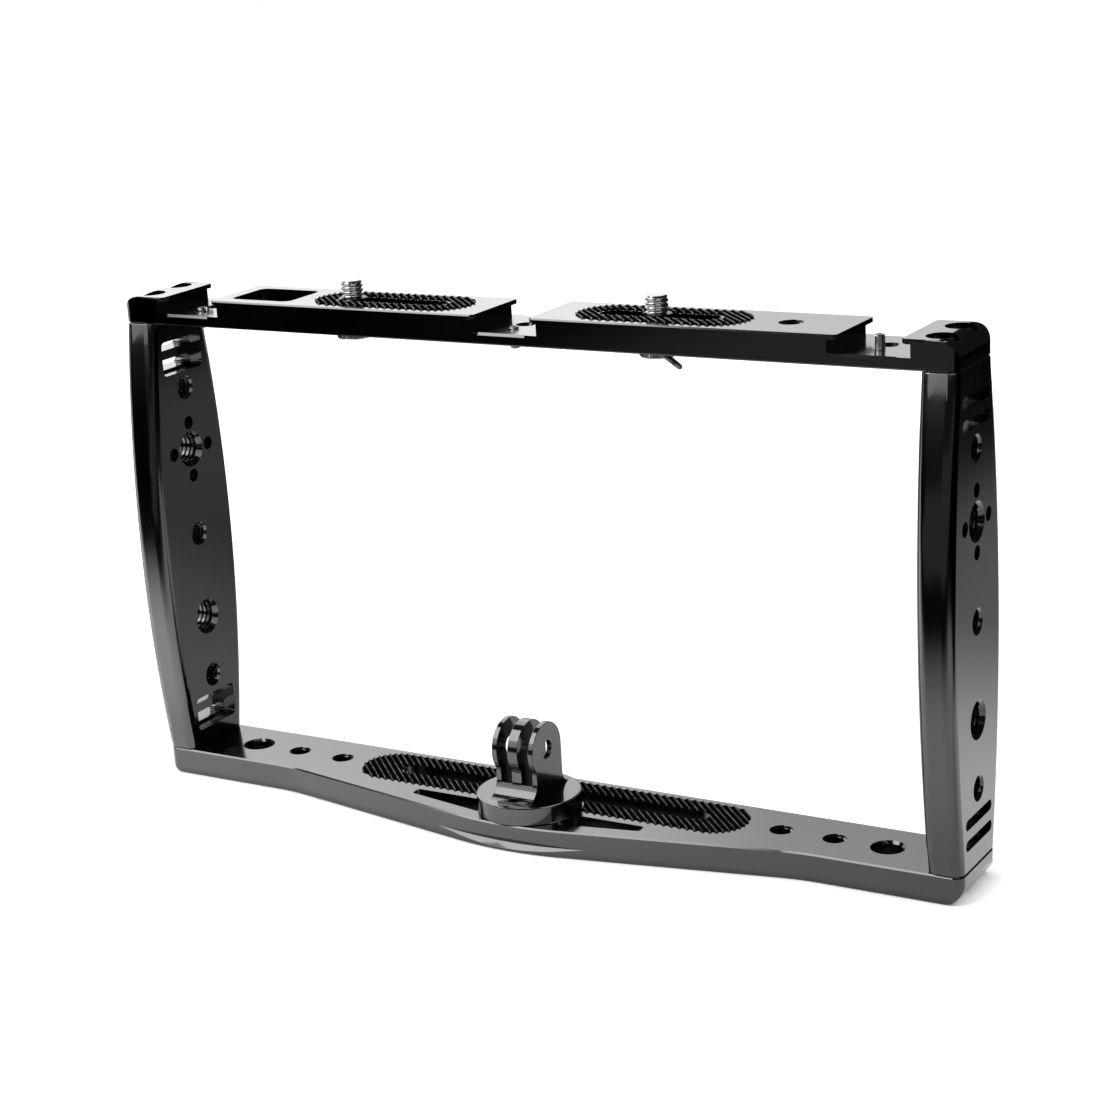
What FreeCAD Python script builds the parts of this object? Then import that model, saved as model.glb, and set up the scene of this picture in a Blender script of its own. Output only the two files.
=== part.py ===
import FreeCAD, Part
import math
import os
import Sketcher

# Dual grip camera frame: two flat bars joined by two barrel-shaped side grips, with three accessory
# shoes, two captive camera screws on rubber pads, and a three-prong camera mount on the bottom bar.
# X runs along the bars, Y runs to the back, Z is up, and the origin is under the middle of the frame.

Vector = FreeCAD.Vector
Rotation = FreeCAD.Rotation

doc = FreeCAD.newDocument("DualGripFrame")
sheet = doc.addObject("Spreadsheet::Sheet", "Sizes")

# Driving dimensions in millimetres and degrees.
SIZES = {
    # Whole frame
    "frame_length": 261.0,
    "frame_height": 150.0,
    "bar_depth": 25.0,
    "top_bar_thickness": 8.0,
    "bottom_bar_thickness": 8.0,
    "bar_end_round": 5.5,
    "corner_round": 2.9,
    "edge_break": 0.4,
    # Side grips
    "grip_thickness": 10.2,
    "grip_middle_depth": 35.4,
    "high_small_hole_drop": 29.7,
    "pin_pattern_drop": 48.8,
    "middle_small_hole_drop": 0.4,
    "low_large_hole_rise": 48.0,
    "low_small_hole_rise": 29.0,
    "pin_circle_radius": 8.2,
    "pin_hole": 4.0,
    "grip_small_mouth": 7.3,
    "grip_large_mouth": 10.9,
    "top_strap_pocket_drop": 19.6,
    "bottom_strap_pocket_rise": 18.4,
    "strap_pocket_height": 10.2,
    "strap_pocket_depth": 4.5,
    "strap_slot_length": 18.4,
    "strap_slot_width": 3.0,
    "strap_slot_pitch": 5.8,
    # Tapped holes
    "small_thread_bore": 5.3,
    "large_thread_bore": 8.3,
    "bar_small_mouth": 6.7,
    "bar_large_mouth": 9.8,
    # Bottom bar
    "nose_root": 84.0,
    "nose_point": 28.3,
    "nose_round": 90.0,
    "nose_root_round": 60.0,
    "nose_wall": 5.0,
    "bar_hole_inner": 73.3,
    "bar_hole_middle": 89.2,
    "bar_hole_outer": 104.8,
    "slit_inner": 10.0,
    "slit_outer": 37.5,
    "slit_back_step": 0.2,
    "slit_corner": 1.0,
    "groove_apex_depth": 23.8,
    "groove_apex_height": 2.95,
    "groove_rise": 0.34,
    "groove_fall": 0.72,
    "bottom_slot_length": 101.0,
    "bottom_pad_shift": 0.6,
    "bottom_pad_length": 127.2,
    "bottom_pad_width": 19.4,
    # Top bar
    "shoe_pitch": 107.0,
    "shoe_opening": 17.4,
    "shoe_width": 22.5,
    "shoe_lip": 1.3,
    "shoe_depth": 4.75,
    "shoe_lip_corner": 1.2,
    "shoe_floor_break": 0.7,
    "shoe_screw_setback": 5.0,
    "shoe_side_hole_y": 1.2,
    "shoe_side_hole": 3.4,
    "shoe_side_hole_mouth": 5.6,
    "top_hole_x": 80.5,
    "window_x": 83.5,
    "window_length": 20.6,
    "window_width": 16.6,
    "window_corner": 2.5,
    "top_slot_x": 42.4,
    "top_slot_length": 35.5,
    "left_pad_x": 42.0,
    "right_pad_x": 43.5,
    "top_pad_length": 51.2,
    "top_pad_width": 19.0,
    # Rubber pads
    "pad_thickness": 0.6,
    "top_pad_slot_margin": 1.3,
    "bottom_pad_slot_margin": 0.3,
    "pad_disc_gap": 0.4,
    "slot_width": 6.6,
    # Camera screws, their clips and their folding rings
    "stud_diameter": 6.35,
    "stud_reach": 5.5,
    "stud_tip_break": 0.6,
    "screw_neck": 6.0,
    "screw_head": 10.5,
    "screw_head_height": 2.8,
    "screw_coin_slot": 1.2,
    "screw_coin_slot_depth": 0.5,
    "screw_seat_gap": 0.05,
    "left_screw_x": 56.3,
    "right_screw_x": 41.5,
    "left_screw_turn": 0.0,
    "right_screw_turn": 50.0,
    "clip_outer": 8.0,
    "clip_groove": 4.8,
    "clip_thickness": 0.5,
    "clip_mouth": 3.4,
    "ring_wire": 1.5,
    "ring_half_width": 6.3,
    "ring_bend": 0.9,
    "ring_stub": 1.6,
    "left_ring_fold": 0.0,
    "right_ring_fold": 42.0,
    # Shoe clamping screws
    "set_screw_diameter": 3.0,
    "set_screw_length": 6.0,
    "set_screw_socket": 1.5,
    "set_screw_socket_depth": 2.0,
    "left_set_screw_drop": 3.7,
    "middle_set_screw_drop": 4.1,
    "right_set_screw_drop": 0.7,
    # Grip bolts
    "bolt_wall": 1.9,
    "bolt_y": 6.3,
    "bolt_diameter": 4.0,
    "bolt_length": 8.0,
    "bolt_head": 7.0,
    "bolt_head_height": 4.0,
    "bolt_socket": 3.0,
    "bolt_socket_depth": 2.0,
    "bolt_hole": 4.3,
    "bolt_seat": 8.2,
    "bolt_seat_depth": 4.3,
    "bolt_bore_spare": 0.5,
    # Three-prong mount and its screw
    "mount_setback": 12.0,
    "disc_diameter": 30.0,
    "disc_thickness": 5.2,
    "disc_break": 0.4,
    "prong_radius": 8.0,
    "prong_axis_height": 18.3,
    "prong_bore": 5.3,
    "middle_prong": 3.2,
    "outer_prong": 1.6,
    "prong_gap": 3.5,
    "prong_foot_round": 3.8,
    "mount_screw_diameter": 6.0,
    "mount_screw_head": 10.0,
    "mount_screw_head_height": 4.0,
    "mount_screw_engagement": 7.0,
    "mount_screw_socket": 4.0,
    "mount_screw_socket_depth": 2.2,
    "mount_screw_hole": 6.6,
    "mount_screw_seat": 10.6,
    "mount_screw_seat_depth": 4.4,
    # Clearances
    "running_clearance": 0.05,
}
for row, (alias, value) in enumerate(SIZES.items(), start=1):
    sheet.set("A%d" % row, alias.replace("_", " "))
    sheet.set("B%d" % row, str(value))
    sheet.setAlias("B%d" % row, alias)
doc.recompute()


class Measure:
    """A length or angle, kept together with the formula it comes from."""

    def __init__(self, number, text):
        self.number = number
        self.text = text

    def combine(self, other, sign, number):
        other_text = other.text if isinstance(other, Measure) else str(other)
        return Measure(number, "(%s %s %s)" % (self.text, sign, other_text))

    def __add__(self, other):
        return self.combine(other, "+", self.number + plain(other))

    __radd__ = __add__

    def __sub__(self, other):
        return self.combine(other, "-", self.number - plain(other))

    def __rsub__(self, other):
        return -self + other

    def __mul__(self, other):
        return self.combine(other, "*", self.number * plain(other))

    __rmul__ = __mul__

    def __truediv__(self, other):
        return self.combine(other, "/", self.number / plain(other))

    def __neg__(self):
        return Measure(-self.number, "(-%s)" % self.text)


class Named:
    """Gives each driving dimension of the sheet as a measure."""

    def __getattr__(self, alias):
        return Measure(float(getattr(sheet, alias)), "Sizes.%s" % alias)


def plain(value):
    return value.number if isinstance(value, Measure) else float(value)


def formula(value):
    return value.text if isinstance(value, Measure) else str(value)


# How near an edge lies to a plane to count as on it, in millimetres.
SNAP = 1e-4

size = Named()
half_length = size.frame_length / 2
half_depth = size.bar_depth / 2
top_bar_floor = size.frame_height - size.top_bar_thickness
grip_inner = half_length - size.grip_thickness
bolt_x = grip_inner + size.bolt_diameter / 2 + size.bolt_wall
pattern_height = size.frame_height - size.pin_pattern_drop
# The origin lies under the middle of the whole depth, from the mount's disc to the back of the grips, so
# the bars and grips stand this far behind it.
bar_middle = (size.mount_setback + size.disc_diameter / 2 - size.grip_middle_depth / 2) / 2


# Bodies, sketches and features

def new_body(name):
    body = doc.addObject("PartDesign::Body", name)
    body.Label = name
    return body


def origin_feature(body, role):
    return next(item for item in body.Origin.OriginFeatures if item.Role == role)


def new_sketch(body, name, plane="XY_Plane", offset=0.0):
    """A sketch on one of the body's own planes, moved along that plane's normal."""
    sketch = body.newObject("Sketcher::SketchObject", name)
    sketch.AttachmentSupport = (origin_feature(body, plane), "")
    sketch.MapMode = "FlatFace"
    sketch.AttachmentOffset = FreeCAD.Placement(Vector(0, 0, plain(offset)), Rotation())
    sketch.setExpression("AttachmentOffset.Base.z", formula(offset))
    return sketch


def constrain(sketch, kind, *references, value=None):
    if value is None:
        return sketch.addConstraint(Sketcher.Constraint(kind, *references))
    index = sketch.addConstraint(Sketcher.Constraint(kind, *references, plain(value)))
    if isinstance(value, Measure):
        sketch.setExpression("Constraints[%d]" % index, value.text)
    return index


def place(sketch, item, end, x, y):
    """Fixes one point of a sketch item at x and y from the sketch's origin."""
    for kind, value, axis in (("DistanceX", x, -2), ("DistanceY", y, -1)):
        if plain(value) == 0:
            constrain(sketch, "PointOnObject", item, end, axis)
        elif plain(value) > 0:
            constrain(sketch, kind, -1, 1, item, end, value=value)
        else:
            constrain(sketch, kind, item, end, -1, 1, value=-value)


def point(x, y):
    return Vector(plain(x), plain(y), 0)


def add_circle(sketch, x, y, diameter):
    circle = sketch.addGeometry(Part.Circle(point(x, y), Vector(0, 0, 1), plain(diameter) / 2))
    constrain(sketch, "Diameter", circle, value=diameter)
    place(sketch, circle, 3, x, y)


def add_polygon(sketch, corners):
    """A closed outline of straight lines, each corner fixed by its own measures."""
    following = corners[1:] + corners[:1]
    lines = [sketch.addGeometry(Part.LineSegment(point(*a), point(*b))) for a, b in zip(corners, following)]
    for index, line in enumerate(lines):
        constrain(sketch, "Coincident", line, 2, lines[(index + 1) % len(lines)], 1)
        place(sketch, line, 1, *corners[index])


def add_rectangle(sketch, x, y, length, width):
    """A rectangle centred on x and y."""
    left, right = x - length / 2, x + length / 2
    low, high = y - width / 2, y + width / 2
    add_polygon(sketch, [(left, low), (right, low), (right, high), (left, high)])


def add_stadium(sketch, x, y, length, width):
    """A slot along the sketch's first axis, with half-round ends, centred on x and y."""
    radius, reach = width / 2, (length - width) / 2
    up = Vector(0, 0, 1)
    right_end = Part.Circle(point(x + reach, y), up, plain(radius))
    left_end = Part.Circle(point(x - reach, y), up, plain(radius))
    shapes = [
        Part.ArcOfCircle(right_end, -math.pi / 2, math.pi / 2),
        Part.LineSegment(point(x + reach, y + radius), point(x - reach, y + radius)),
        Part.ArcOfCircle(left_end, math.pi / 2, 3 * math.pi / 2),
        Part.LineSegment(point(x - reach, y - radius), point(x + reach, y - radius)),
    ]
    ring = [sketch.addGeometry(shape) for shape in shapes]
    right, high, left, low = ring
    for index, item in enumerate(ring):
        constrain(sketch, "Tangent", item, 2, ring[(index + 1) % 4], 1)
    constrain(sketch, "Horizontal", high)
    constrain(sketch, "Radius", right, value=radius)
    constrain(sketch, "DistanceX", left, 3, right, 3, value=length - width)
    place(sketch, left, 3, x - reach, y)


def add_hexagon(sketch, across_flats):
    """A hexagon socket outline centred on the sketch's origin."""
    corner = across_flats / math.sqrt(3)
    corners = []
    for turn in range(6):
        angle = math.radians(60 * turn)
        corners.append((corner * round(math.cos(angle), 12), corner * round(math.sin(angle), 12)))
    add_polygon(sketch, corners)


def add_pad(body, name, sketch, length, symmetric=False, reverse=False):
    feature = body.newObject("PartDesign::Pad", name)
    feature.Profile = sketch
    feature.SideType = "Symmetric" if symmetric else "One side"
    feature.Reversed = reverse
    feature.Length = plain(length)
    feature.setExpression("Length", formula(length))
    return finish_feature(body, feature)


def add_cut(body, name, sketch, depth=None, symmetric=False, reverse=False):
    """A pocket that goes against the sketch's normal, right through where no depth is given."""
    before = body.Shape.Volume
    feature = body.newObject("PartDesign::Pocket", name)
    feature.Profile = sketch
    feature.SideType = "Symmetric" if symmetric else "One side"
    feature.Reversed = reverse
    if depth is None:
        feature.Type = "ThroughAll"
    else:
        feature.Length = plain(depth)
        feature.setExpression("Length", formula(depth))
    finish_feature(body, feature)
    return check_removed(body, feature, before)


def add_hole(body, name, sketch, diameter, mouth=None, seat_depth=None, depth=None, reverse=False):
    """Drills every circle of the sketch: plain, countersunk to the mouth, or counterbored to it."""
    before = body.Shape.Volume
    doc.recompute()
    feature = body.newObject("PartDesign::Hole", name)
    feature.Profile = sketch
    doc.recompute()
    feature.Reversed = reverse
    feature.DrillPoint = "Flat"
    feature.setExpression("Diameter", formula(diameter))
    feature.DepthType = "ThroughAll" if depth is None else "Dimension"
    if depth is not None:
        feature.setExpression("Depth", formula(depth))
    if mouth is not None:
        feature.HoleCutType = "Countersink" if seat_depth is None else "Counterbore"
        feature.setExpression("HoleCutDiameter", formula(mouth))
    if mouth is not None and seat_depth is None:
        feature.HoleCutCountersinkAngle = 90.0
    if seat_depth is not None:
        feature.setExpression("HoleCutDepth", formula(seat_depth))
    finish_feature(body, feature)
    return check_removed(body, feature, before)


def finish_feature(body, feature):
    body.Tip = feature
    doc.recompute()
    return feature


def check_removed(body, feature, before):
    if not body.Shape.Volume < before - 1e-6:
        raise RuntimeError("%s cuts nothing from %s" % (feature.Name, body.Label))
    return feature


def add_mirror(body, name, originals, plane):
    feature = body.newObject("PartDesign::Mirrored", name)
    feature.Originals = originals
    feature.MirrorPlane = (origin_feature(body, plane), [""])
    return finish_feature(body, feature)


def add_row(body, name, originals, axis, length, count):
    feature = body.newObject("PartDesign::LinearPattern", name)
    feature.Originals = originals
    feature.Direction = (origin_feature(body, axis), [""])
    feature.setExpression("Length", formula(length))
    feature.Occurrences = count
    return finish_feature(body, feature)


def dress_edges(body, kind, name, amount, chosen):
    """A fillet or chamfer on each edge of the body that the test picks out."""
    tip = body.Tip
    names = ["Edge%d" % (i + 1) for i, edge in enumerate(tip.Shape.Edges) if chosen(edge)]
    if not names:
        raise RuntimeError("%s finds no edge on %s" % (name, body.Label))
    feature = body.newObject("PartDesign::%s" % kind, name)
    feature.Base = (tip, names)
    feature.setExpression("Radius" if kind == "Fillet" else "Size", formula(amount))
    return finish_feature(body, feature)


def extent(edge, axis):
    box = edge.BoundBox
    return ((box.XMin, box.XMax), (box.YMin, box.YMax), (box.ZMin, box.ZMax))[axis]


def runs_along(edge, axis, at_least=0.0):
    """Whether a straight edge is parallel to an axis and at least this long."""
    if not isinstance(edge.Curve, Part.Line):
        return False
    spans = [high - low for low, high in (extent(edge, i) for i in range(3))]
    return spans[axis] > at_least and sum(spans) - spans[axis] < SNAP


def lies_at(edge, axis, value):
    low, high = extent(edge, axis)
    return abs(low - plain(value)) < SNAP and abs(high - plain(value)) < SNAP


def add_spin(body, name, corners):
    """A solid of revolution about Z. Corners are radius and height pairs of its half outline."""
    sketch = new_sketch(body, name + "_outline", "XZ_Plane")
    add_polygon(sketch, corners)
    feature = body.newObject("PartDesign::Revolution", name)
    feature.Profile = sketch
    feature.ReferenceAxis = (sketch, ["V_Axis"])
    feature.Angle = 360.0
    return finish_feature(body, feature)


def put(item, x=0.0, y=0.0, z=0.0, turn=0.0, tilt=0.0):
    """Places a finished piece by its distance from the bars' middle: turned about Z, after a tilt about X."""
    rotation = Rotation(Vector(0, 0, 1), plain(turn)) * Rotation(Vector(1, 0, 0), plain(tilt))
    item.Placement = FreeCAD.Placement(Vector(plain(x), plain(bar_middle + y), plain(z)), rotation)
    for axis, value in (("x", x), ("y", bar_middle + y), ("z", z)):
        item.setExpression("Placement.Base.%s" % axis, formula(value))


# Bars

def round_bar_ends(body, top):
    """Rounds a bar's outer corners as seen from the front: upper ones on the top bar, lower on the other."""
    edge_height = size.frame_height if top else 0.0
    inward = -size.bar_end_round if top else size.bar_end_round
    sketch = new_sketch(body, "end_rounding", "XZ_Plane")
    for side in (-1, 1):
        end = half_length * side
        start = (half_length - size.bar_end_round) * side
        level = edge_height + inward
        circle = Part.Circle(point(start, level), Vector(0, 0, 1), plain(size.bar_end_round))
        angle = {(1, True): 0, (-1, True): 90, (-1, False): 180, (1, False): 270}[(side, top)]
        arc = sketch.addGeometry(Part.ArcOfCircle(circle, math.radians(angle), math.radians(angle + 90)))
        side_first = (side, top) not in ((-1, True), (1, False))
        ends = [(end, level), (start, edge_height)] if side_first else [(start, edge_height), (end, level)]
        corner = sketch.addGeometry(Part.LineSegment(point(*ends[1]), point(end, edge_height)))
        closing = sketch.addGeometry(Part.LineSegment(point(end, edge_height), point(*ends[0])))
        constrain(sketch, "Tangent", arc, 2, corner, 1)
        constrain(sketch, "Coincident", corner, 2, closing, 1)
        constrain(sketch, "Tangent", closing, 2, arc, 1)
        place(sketch, corner, 2, end, edge_height)
        constrain(sketch, "Vertical" if side_first else "Horizontal", closing)
        constrain(sketch, "Horizontal" if side_first else "Vertical", corner)
        constrain(sketch, "Radius", arc, value=size.bar_end_round)
    return add_cut(body, "end_rounding_cut", sketch, size.bar_depth * 3, symmetric=True)


def finish_bar(body, floor, top):
    """Rounds a bar's four upright corners and breaks the edges round both of its faces."""
    dress_edges(body, "Fillet", "plan_corners", size.corner_round,
                lambda e: runs_along(e, 2) and abs(abs(e.BoundBox.XMin) - plain(half_length)) < SNAP)
    return dress_edges(body, "Chamfer", "edge_breaks", size.edge_break,
                       lambda e: lies_at(e, 2, floor) or lies_at(e, 2, top))


def bolt_holes(body, level, reverse):
    """Four counterbored holes for the bolts that hold the two grips."""
    sketch = new_sketch(body, "grip_bolt_points", offset=level)
    for side in (-1, 1):
        for row_side in (-1, 1):
            add_circle(sketch, bolt_x * side, size.bolt_y * row_side, size.bolt_hole)
    return add_hole(body, "grip_bolt_holes", sketch, size.bolt_hole, mouth=size.bolt_seat,
                    seat_depth=size.bolt_seat_depth, reverse=reverse)


def thread_holes(body, name, level, places, bore, mouth):
    """Tapped holes with a countersunk mouth on the bar's upper face."""
    sketch = new_sketch(body, name + "_points", offset=level)
    for x in places:
        add_circle(sketch, x, 0.0, bore)
    return add_hole(body, name, sketch, bore, mouth=mouth)


def long_slot(body, name, level, x, length):
    sketch = new_sketch(body, name + "_outline", offset=level)
    add_stadium(sketch, x, 0.0, length, size.slot_width)
    return add_cut(body, name, sketch)


def make_top_bar():
    body = new_body("top_bar")
    outline = new_sketch(body, "bar_outline", offset=top_bar_floor)
    add_rectangle(outline, 0.0, 0.0, size.frame_length, size.bar_depth)
    add_pad(body, "bar_block", outline, size.top_bar_thickness)
    finish_bar(body, top_bar_floor, size.frame_height)
    round_bar_ends(body, top=True)
    shoe_cuts(body)
    window = new_sketch(body, "strap_window_outline", offset=size.frame_height)
    add_rectangle(window, -size.window_x, 0.0, size.window_length, size.window_width)
    add_cut(body, "strap_window", window)
    left = plain(-size.window_x - size.window_length / 2)
    right = plain(-size.window_x + size.window_length / 2)
    dress_edges(body, "Fillet", "window_corners", size.window_corner,
                lambda e: runs_along(e, 2) and (lies_at(e, 0, left) or lies_at(e, 0, right)))
    slot = long_slot(body, "camera_slot", size.frame_height, size.top_slot_x, size.top_slot_length)
    add_mirror(body, "second_camera_slot", [slot], "YZ_Plane")
    thread_holes(body, "top_thread", size.frame_height, [size.top_hole_x], size.small_thread_bore,
                 size.bar_small_mouth)
    bolt_holes(body, size.frame_height, reverse=False)
    put(body)
    return body


def shoe_cuts(body):
    """Three T-shaped accessory shoes across the bar, each with a tapped and a plain hole in its floor."""
    floor = size.frame_height - size.shoe_depth
    lip_under = size.frame_height - size.shoe_lip
    first = -size.shoe_pitch
    profile = new_sketch(body, "shoe_profile", "XZ_Plane")
    add_rectangle(profile, first, (floor + lip_under) / 2, size.shoe_width, lip_under - floor)
    channel = add_cut(body, "shoe_channel", profile, size.bar_depth * 2, symmetric=True)
    mouth_profile = new_sketch(body, "shoe_mouth_profile", "XZ_Plane")
    middle = size.frame_height - size.shoe_lip / 2
    add_rectangle(mouth_profile, first, middle, size.shoe_opening, size.shoe_lip)
    mouth = add_cut(body, "shoe_mouth", mouth_profile, size.bar_depth * 2, symmetric=True)
    corners = new_sketch(body, "shoe_lip_corner_outline", offset=size.frame_height)
    for x_side in (-1, 1):
        for y_side in (-1, 1):
            x = first + size.shoe_opening / 2 * x_side
            y = half_depth * y_side
            reach = size.shoe_lip_corner
            add_polygon(corners, [(x, y), (x + reach * x_side, y), (x, y - reach * y_side)])
    lips = add_cut(body, "shoe_lip_corners", corners, size.shoe_lip)
    breaks = new_sketch(body, "shoe_floor_break_outline", "YZ_Plane", offset=first)
    for y_side in (-1, 1):
        y = half_depth * y_side
        reach = size.shoe_floor_break
        add_polygon(breaks, [(y, floor), (y, floor - reach), (y - reach * y_side, floor)])
    break_length = size.shoe_opening - size.shoe_lip_corner * 2
    floor_break = add_cut(body, "shoe_floor_break", breaks, break_length, symmetric=True)
    screw_points = new_sketch(body, "shoe_screw_points", offset=floor)
    screw_bore = size.set_screw_diameter + size.running_clearance * 2
    add_circle(screw_points, first, -size.shoe_screw_setback, screw_bore)
    screw_hole = add_cut(body, "shoe_screw_hole", screw_points, size.top_bar_thickness)
    side_points = new_sketch(body, "shoe_side_points", offset=floor)
    add_circle(side_points, first, size.shoe_side_hole_y, size.shoe_side_hole)
    side_hole = add_hole(body, "shoe_side_hole", side_points, size.shoe_side_hole,
                         mouth=size.shoe_side_hole_mouth)
    originals = [channel, mouth, lips, floor_break, screw_hole, side_hole]
    return add_row(body, "shoe_row", originals, "X_Axis", size.shoe_pitch * 2, 3)


def make_bottom_bar():
    body = new_body("bottom_bar")
    top = size.bottom_bar_thickness
    outline = new_sketch(body, "bar_outline")
    corners = [(-half_length, -half_depth), (-size.nose_root, -half_depth), (0.0, -size.nose_point),
               (size.nose_root, -half_depth), (half_length, -half_depth), (half_length, half_depth),
               (-half_length, half_depth)]
    add_polygon(outline, corners)
    add_pad(body, "bar_block", outline, top)
    dress_edges(body, "Fillet", "nose_rounding", size.nose_round,
                lambda e: runs_along(e, 2) and lies_at(e, 0, 0.0))
    dress_edges(body, "Fillet", "nose_root_rounding", size.nose_root_round,
                lambda e: runs_along(e, 2) and abs(abs(e.BoundBox.XMin) - plain(size.nose_root)) < SNAP)
    finish_bar(body, 0.0, top)
    round_bar_ends(body, top=False)
    nose_groove(body)
    nose_slits(body)
    long_slot(body, "long_slot", top, 0.0, size.bottom_slot_length)
    small = [size.bar_hole_inner, size.bar_hole_middle, -size.bar_hole_inner, -size.bar_hole_middle]
    thread_holes(body, "small_threads", top, small, size.small_thread_bore, size.bar_small_mouth)
    large = [size.bar_hole_outer, -size.bar_hole_outer]
    thread_holes(body, "large_threads", top, large, size.large_thread_bore, size.bar_large_mouth)
    mount_point = new_sketch(body, "mount_screw_point")
    add_circle(mount_point, 0.0, -size.mount_setback, size.mount_screw_hole)
    add_hole(body, "mount_screw_hole", mount_point, size.mount_screw_hole, mouth=size.mount_screw_seat,
             seat_depth=size.mount_screw_seat_depth, reverse=True)
    bolt_holes(body, 0.0, reverse=True)
    put(body)
    return body


def nose_groove(body):
    """A straight V groove across the nose, which fades out where the nose curves back."""
    sketch = new_sketch(body, "nose_groove_profile", "YZ_Plane")
    reach = size.nose_point - size.groove_apex_depth
    apex = (-size.groove_apex_depth, size.groove_apex_height)
    high = (-size.nose_point, size.groove_apex_height + reach * size.groove_rise)
    low = (-size.nose_point, size.groove_apex_height - reach * size.groove_fall)
    add_polygon(sketch, [apex, low, high])
    return add_cut(body, "nose_groove", sketch, size.nose_root * 2, symmetric=True)


def nose_slits(body):
    """Two tapered windows behind the nose, whose front walls keep an even thickness."""
    slope = (size.nose_point - half_depth) / size.nose_root
    wall = size.nose_wall * math.sqrt(1 + slope.number ** 2)

    def front(x):
        return -(size.nose_point - x * slope - wall)

    back = -half_depth - size.slit_back_step
    corners = [(size.slit_inner, back), (size.slit_inner, front(size.slit_inner)),
               (size.slit_outer, front(size.slit_outer)), (size.slit_outer, back)]
    sketch = new_sketch(body, "nose_slit_outline", offset=size.bottom_bar_thickness)
    add_polygon(sketch, corners)
    slit = add_cut(body, "nose_slit", sketch)
    add_mirror(body, "second_nose_slit", [slit], "YZ_Plane")

    def is_slit_corner(edge):
        x = abs(edge.BoundBox.XMin)
        inside = plain(size.slit_inner) - SNAP < x < plain(size.slit_outer) + SNAP
        return runs_along(edge, 2) and inside and edge.BoundBox.YMin < -plain(half_depth)

    return dress_edges(body, "Fillet", "slit_corners", size.slit_corner, is_slit_corner)


# Grips

def make_grip(name, side):
    body = new_body(name)
    grip_outline(body, side)
    strap_anchor(body, side, "top", size.frame_height - size.top_strap_pocket_drop)
    strap_anchor(body, side, "bottom", size.bottom_strap_pocket_rise)
    inner, outer = grip_inner * side, half_length * side
    for face, offset, reverse in (("inner", inner, side > 0), ("outer", outer, side < 0)):
        small = [size.frame_height - size.high_small_hole_drop,
                 size.frame_height / 2 - size.middle_small_hole_drop, size.low_small_hole_rise]
        grip_holes(body, face + "_small_threads", offset, reverse, small, size.small_thread_bore,
                   size.grip_small_mouth)
        large = [pattern_height, size.low_large_hole_rise]
        grip_holes(body, face + "_large_threads", offset, reverse, large, size.large_thread_bore,
                   size.grip_large_mouth)
    pins = new_sketch(body, "pin_points", "YZ_Plane", offset=inner)
    for y, z in ((1, 0), (0, 1), (-1, 0), (0, -1)):
        height = pattern_height + size.pin_circle_radius * z
        add_circle(pins, size.pin_circle_radius * y, height, size.pin_hole)
    add_cut(body, "pin_holes", pins, reverse=side > 0)
    bore = size.bolt_diameter + size.running_clearance * 2
    for level, thickness, reverse in ((size.bottom_bar_thickness, size.bottom_bar_thickness, True),
                                      (top_bar_floor, size.top_bar_thickness, False)):
        bores = new_sketch(body, "bolt_bore_points", offset=level)
        for row_side in (-1, 1):
            add_circle(bores, bolt_x * side, size.bolt_y * row_side, bore)
        reach = size.bolt_length - (thickness - size.bolt_seat_depth) + size.bolt_bore_spare
        add_cut(body, "bolt_bores", bores, reach, reverse=reverse)
    put(body)
    return body


def grip_outline(body, side):
    """The barrel shape: two large arcs from bar to bar, with all four long edges rounded."""
    low, high = size.bottom_bar_thickness, top_bar_floor
    height = high - low
    bulge = size.grip_middle_depth / 2 - half_depth
    radius = height * height / (bulge * 8) + bulge / 2
    middle = (low + high) / 2
    centre_offset = radius - size.grip_middle_depth / 2
    sketch = new_sketch(body, "barrel_outline", "YZ_Plane", offset=grip_inner * side)
    half_angle = math.asin(plain(height) / 2 / plain(radius))
    back_circle = Part.Circle(point(-centre_offset, middle), Vector(0, 0, 1), plain(radius))
    back = sketch.addGeometry(Part.ArcOfCircle(back_circle, -half_angle, half_angle))
    upper = sketch.addGeometry(Part.LineSegment(point(half_depth, high), point(-half_depth, high)))
    front_circle = Part.Circle(point(centre_offset, middle), Vector(0, 0, 1), plain(radius))
    front = sketch.addGeometry(Part.ArcOfCircle(front_circle, math.pi - half_angle, math.pi + half_angle))
    lower = sketch.addGeometry(Part.LineSegment(point(-half_depth, low), point(half_depth, low)))
    ring = [back, upper, front, lower]
    for index, item in enumerate(ring):
        constrain(sketch, "Coincident", item, 2, ring[(index + 1) % 4], 1)
    place(sketch, upper, 1, half_depth, high)
    place(sketch, upper, 2, -half_depth, high)
    place(sketch, lower, 1, -half_depth, low)
    place(sketch, lower, 2, half_depth, low)
    constrain(sketch, "Radius", back, value=radius)
    constrain(sketch, "Radius", front, value=radius)
    add_pad(body, "barrel", sketch, size.grip_thickness, reverse=side < 0)
    dress_edges(body, "Fillet", "long_edges", size.corner_round,
                lambda e: extent(e, 2)[1] - extent(e, 2)[0] > plain(height) / 2)
    dress_edges(body, "Chamfer", "end_breaks", size.edge_break,
                lambda e: lies_at(e, 2, low) or lies_at(e, 2, high))


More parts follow.
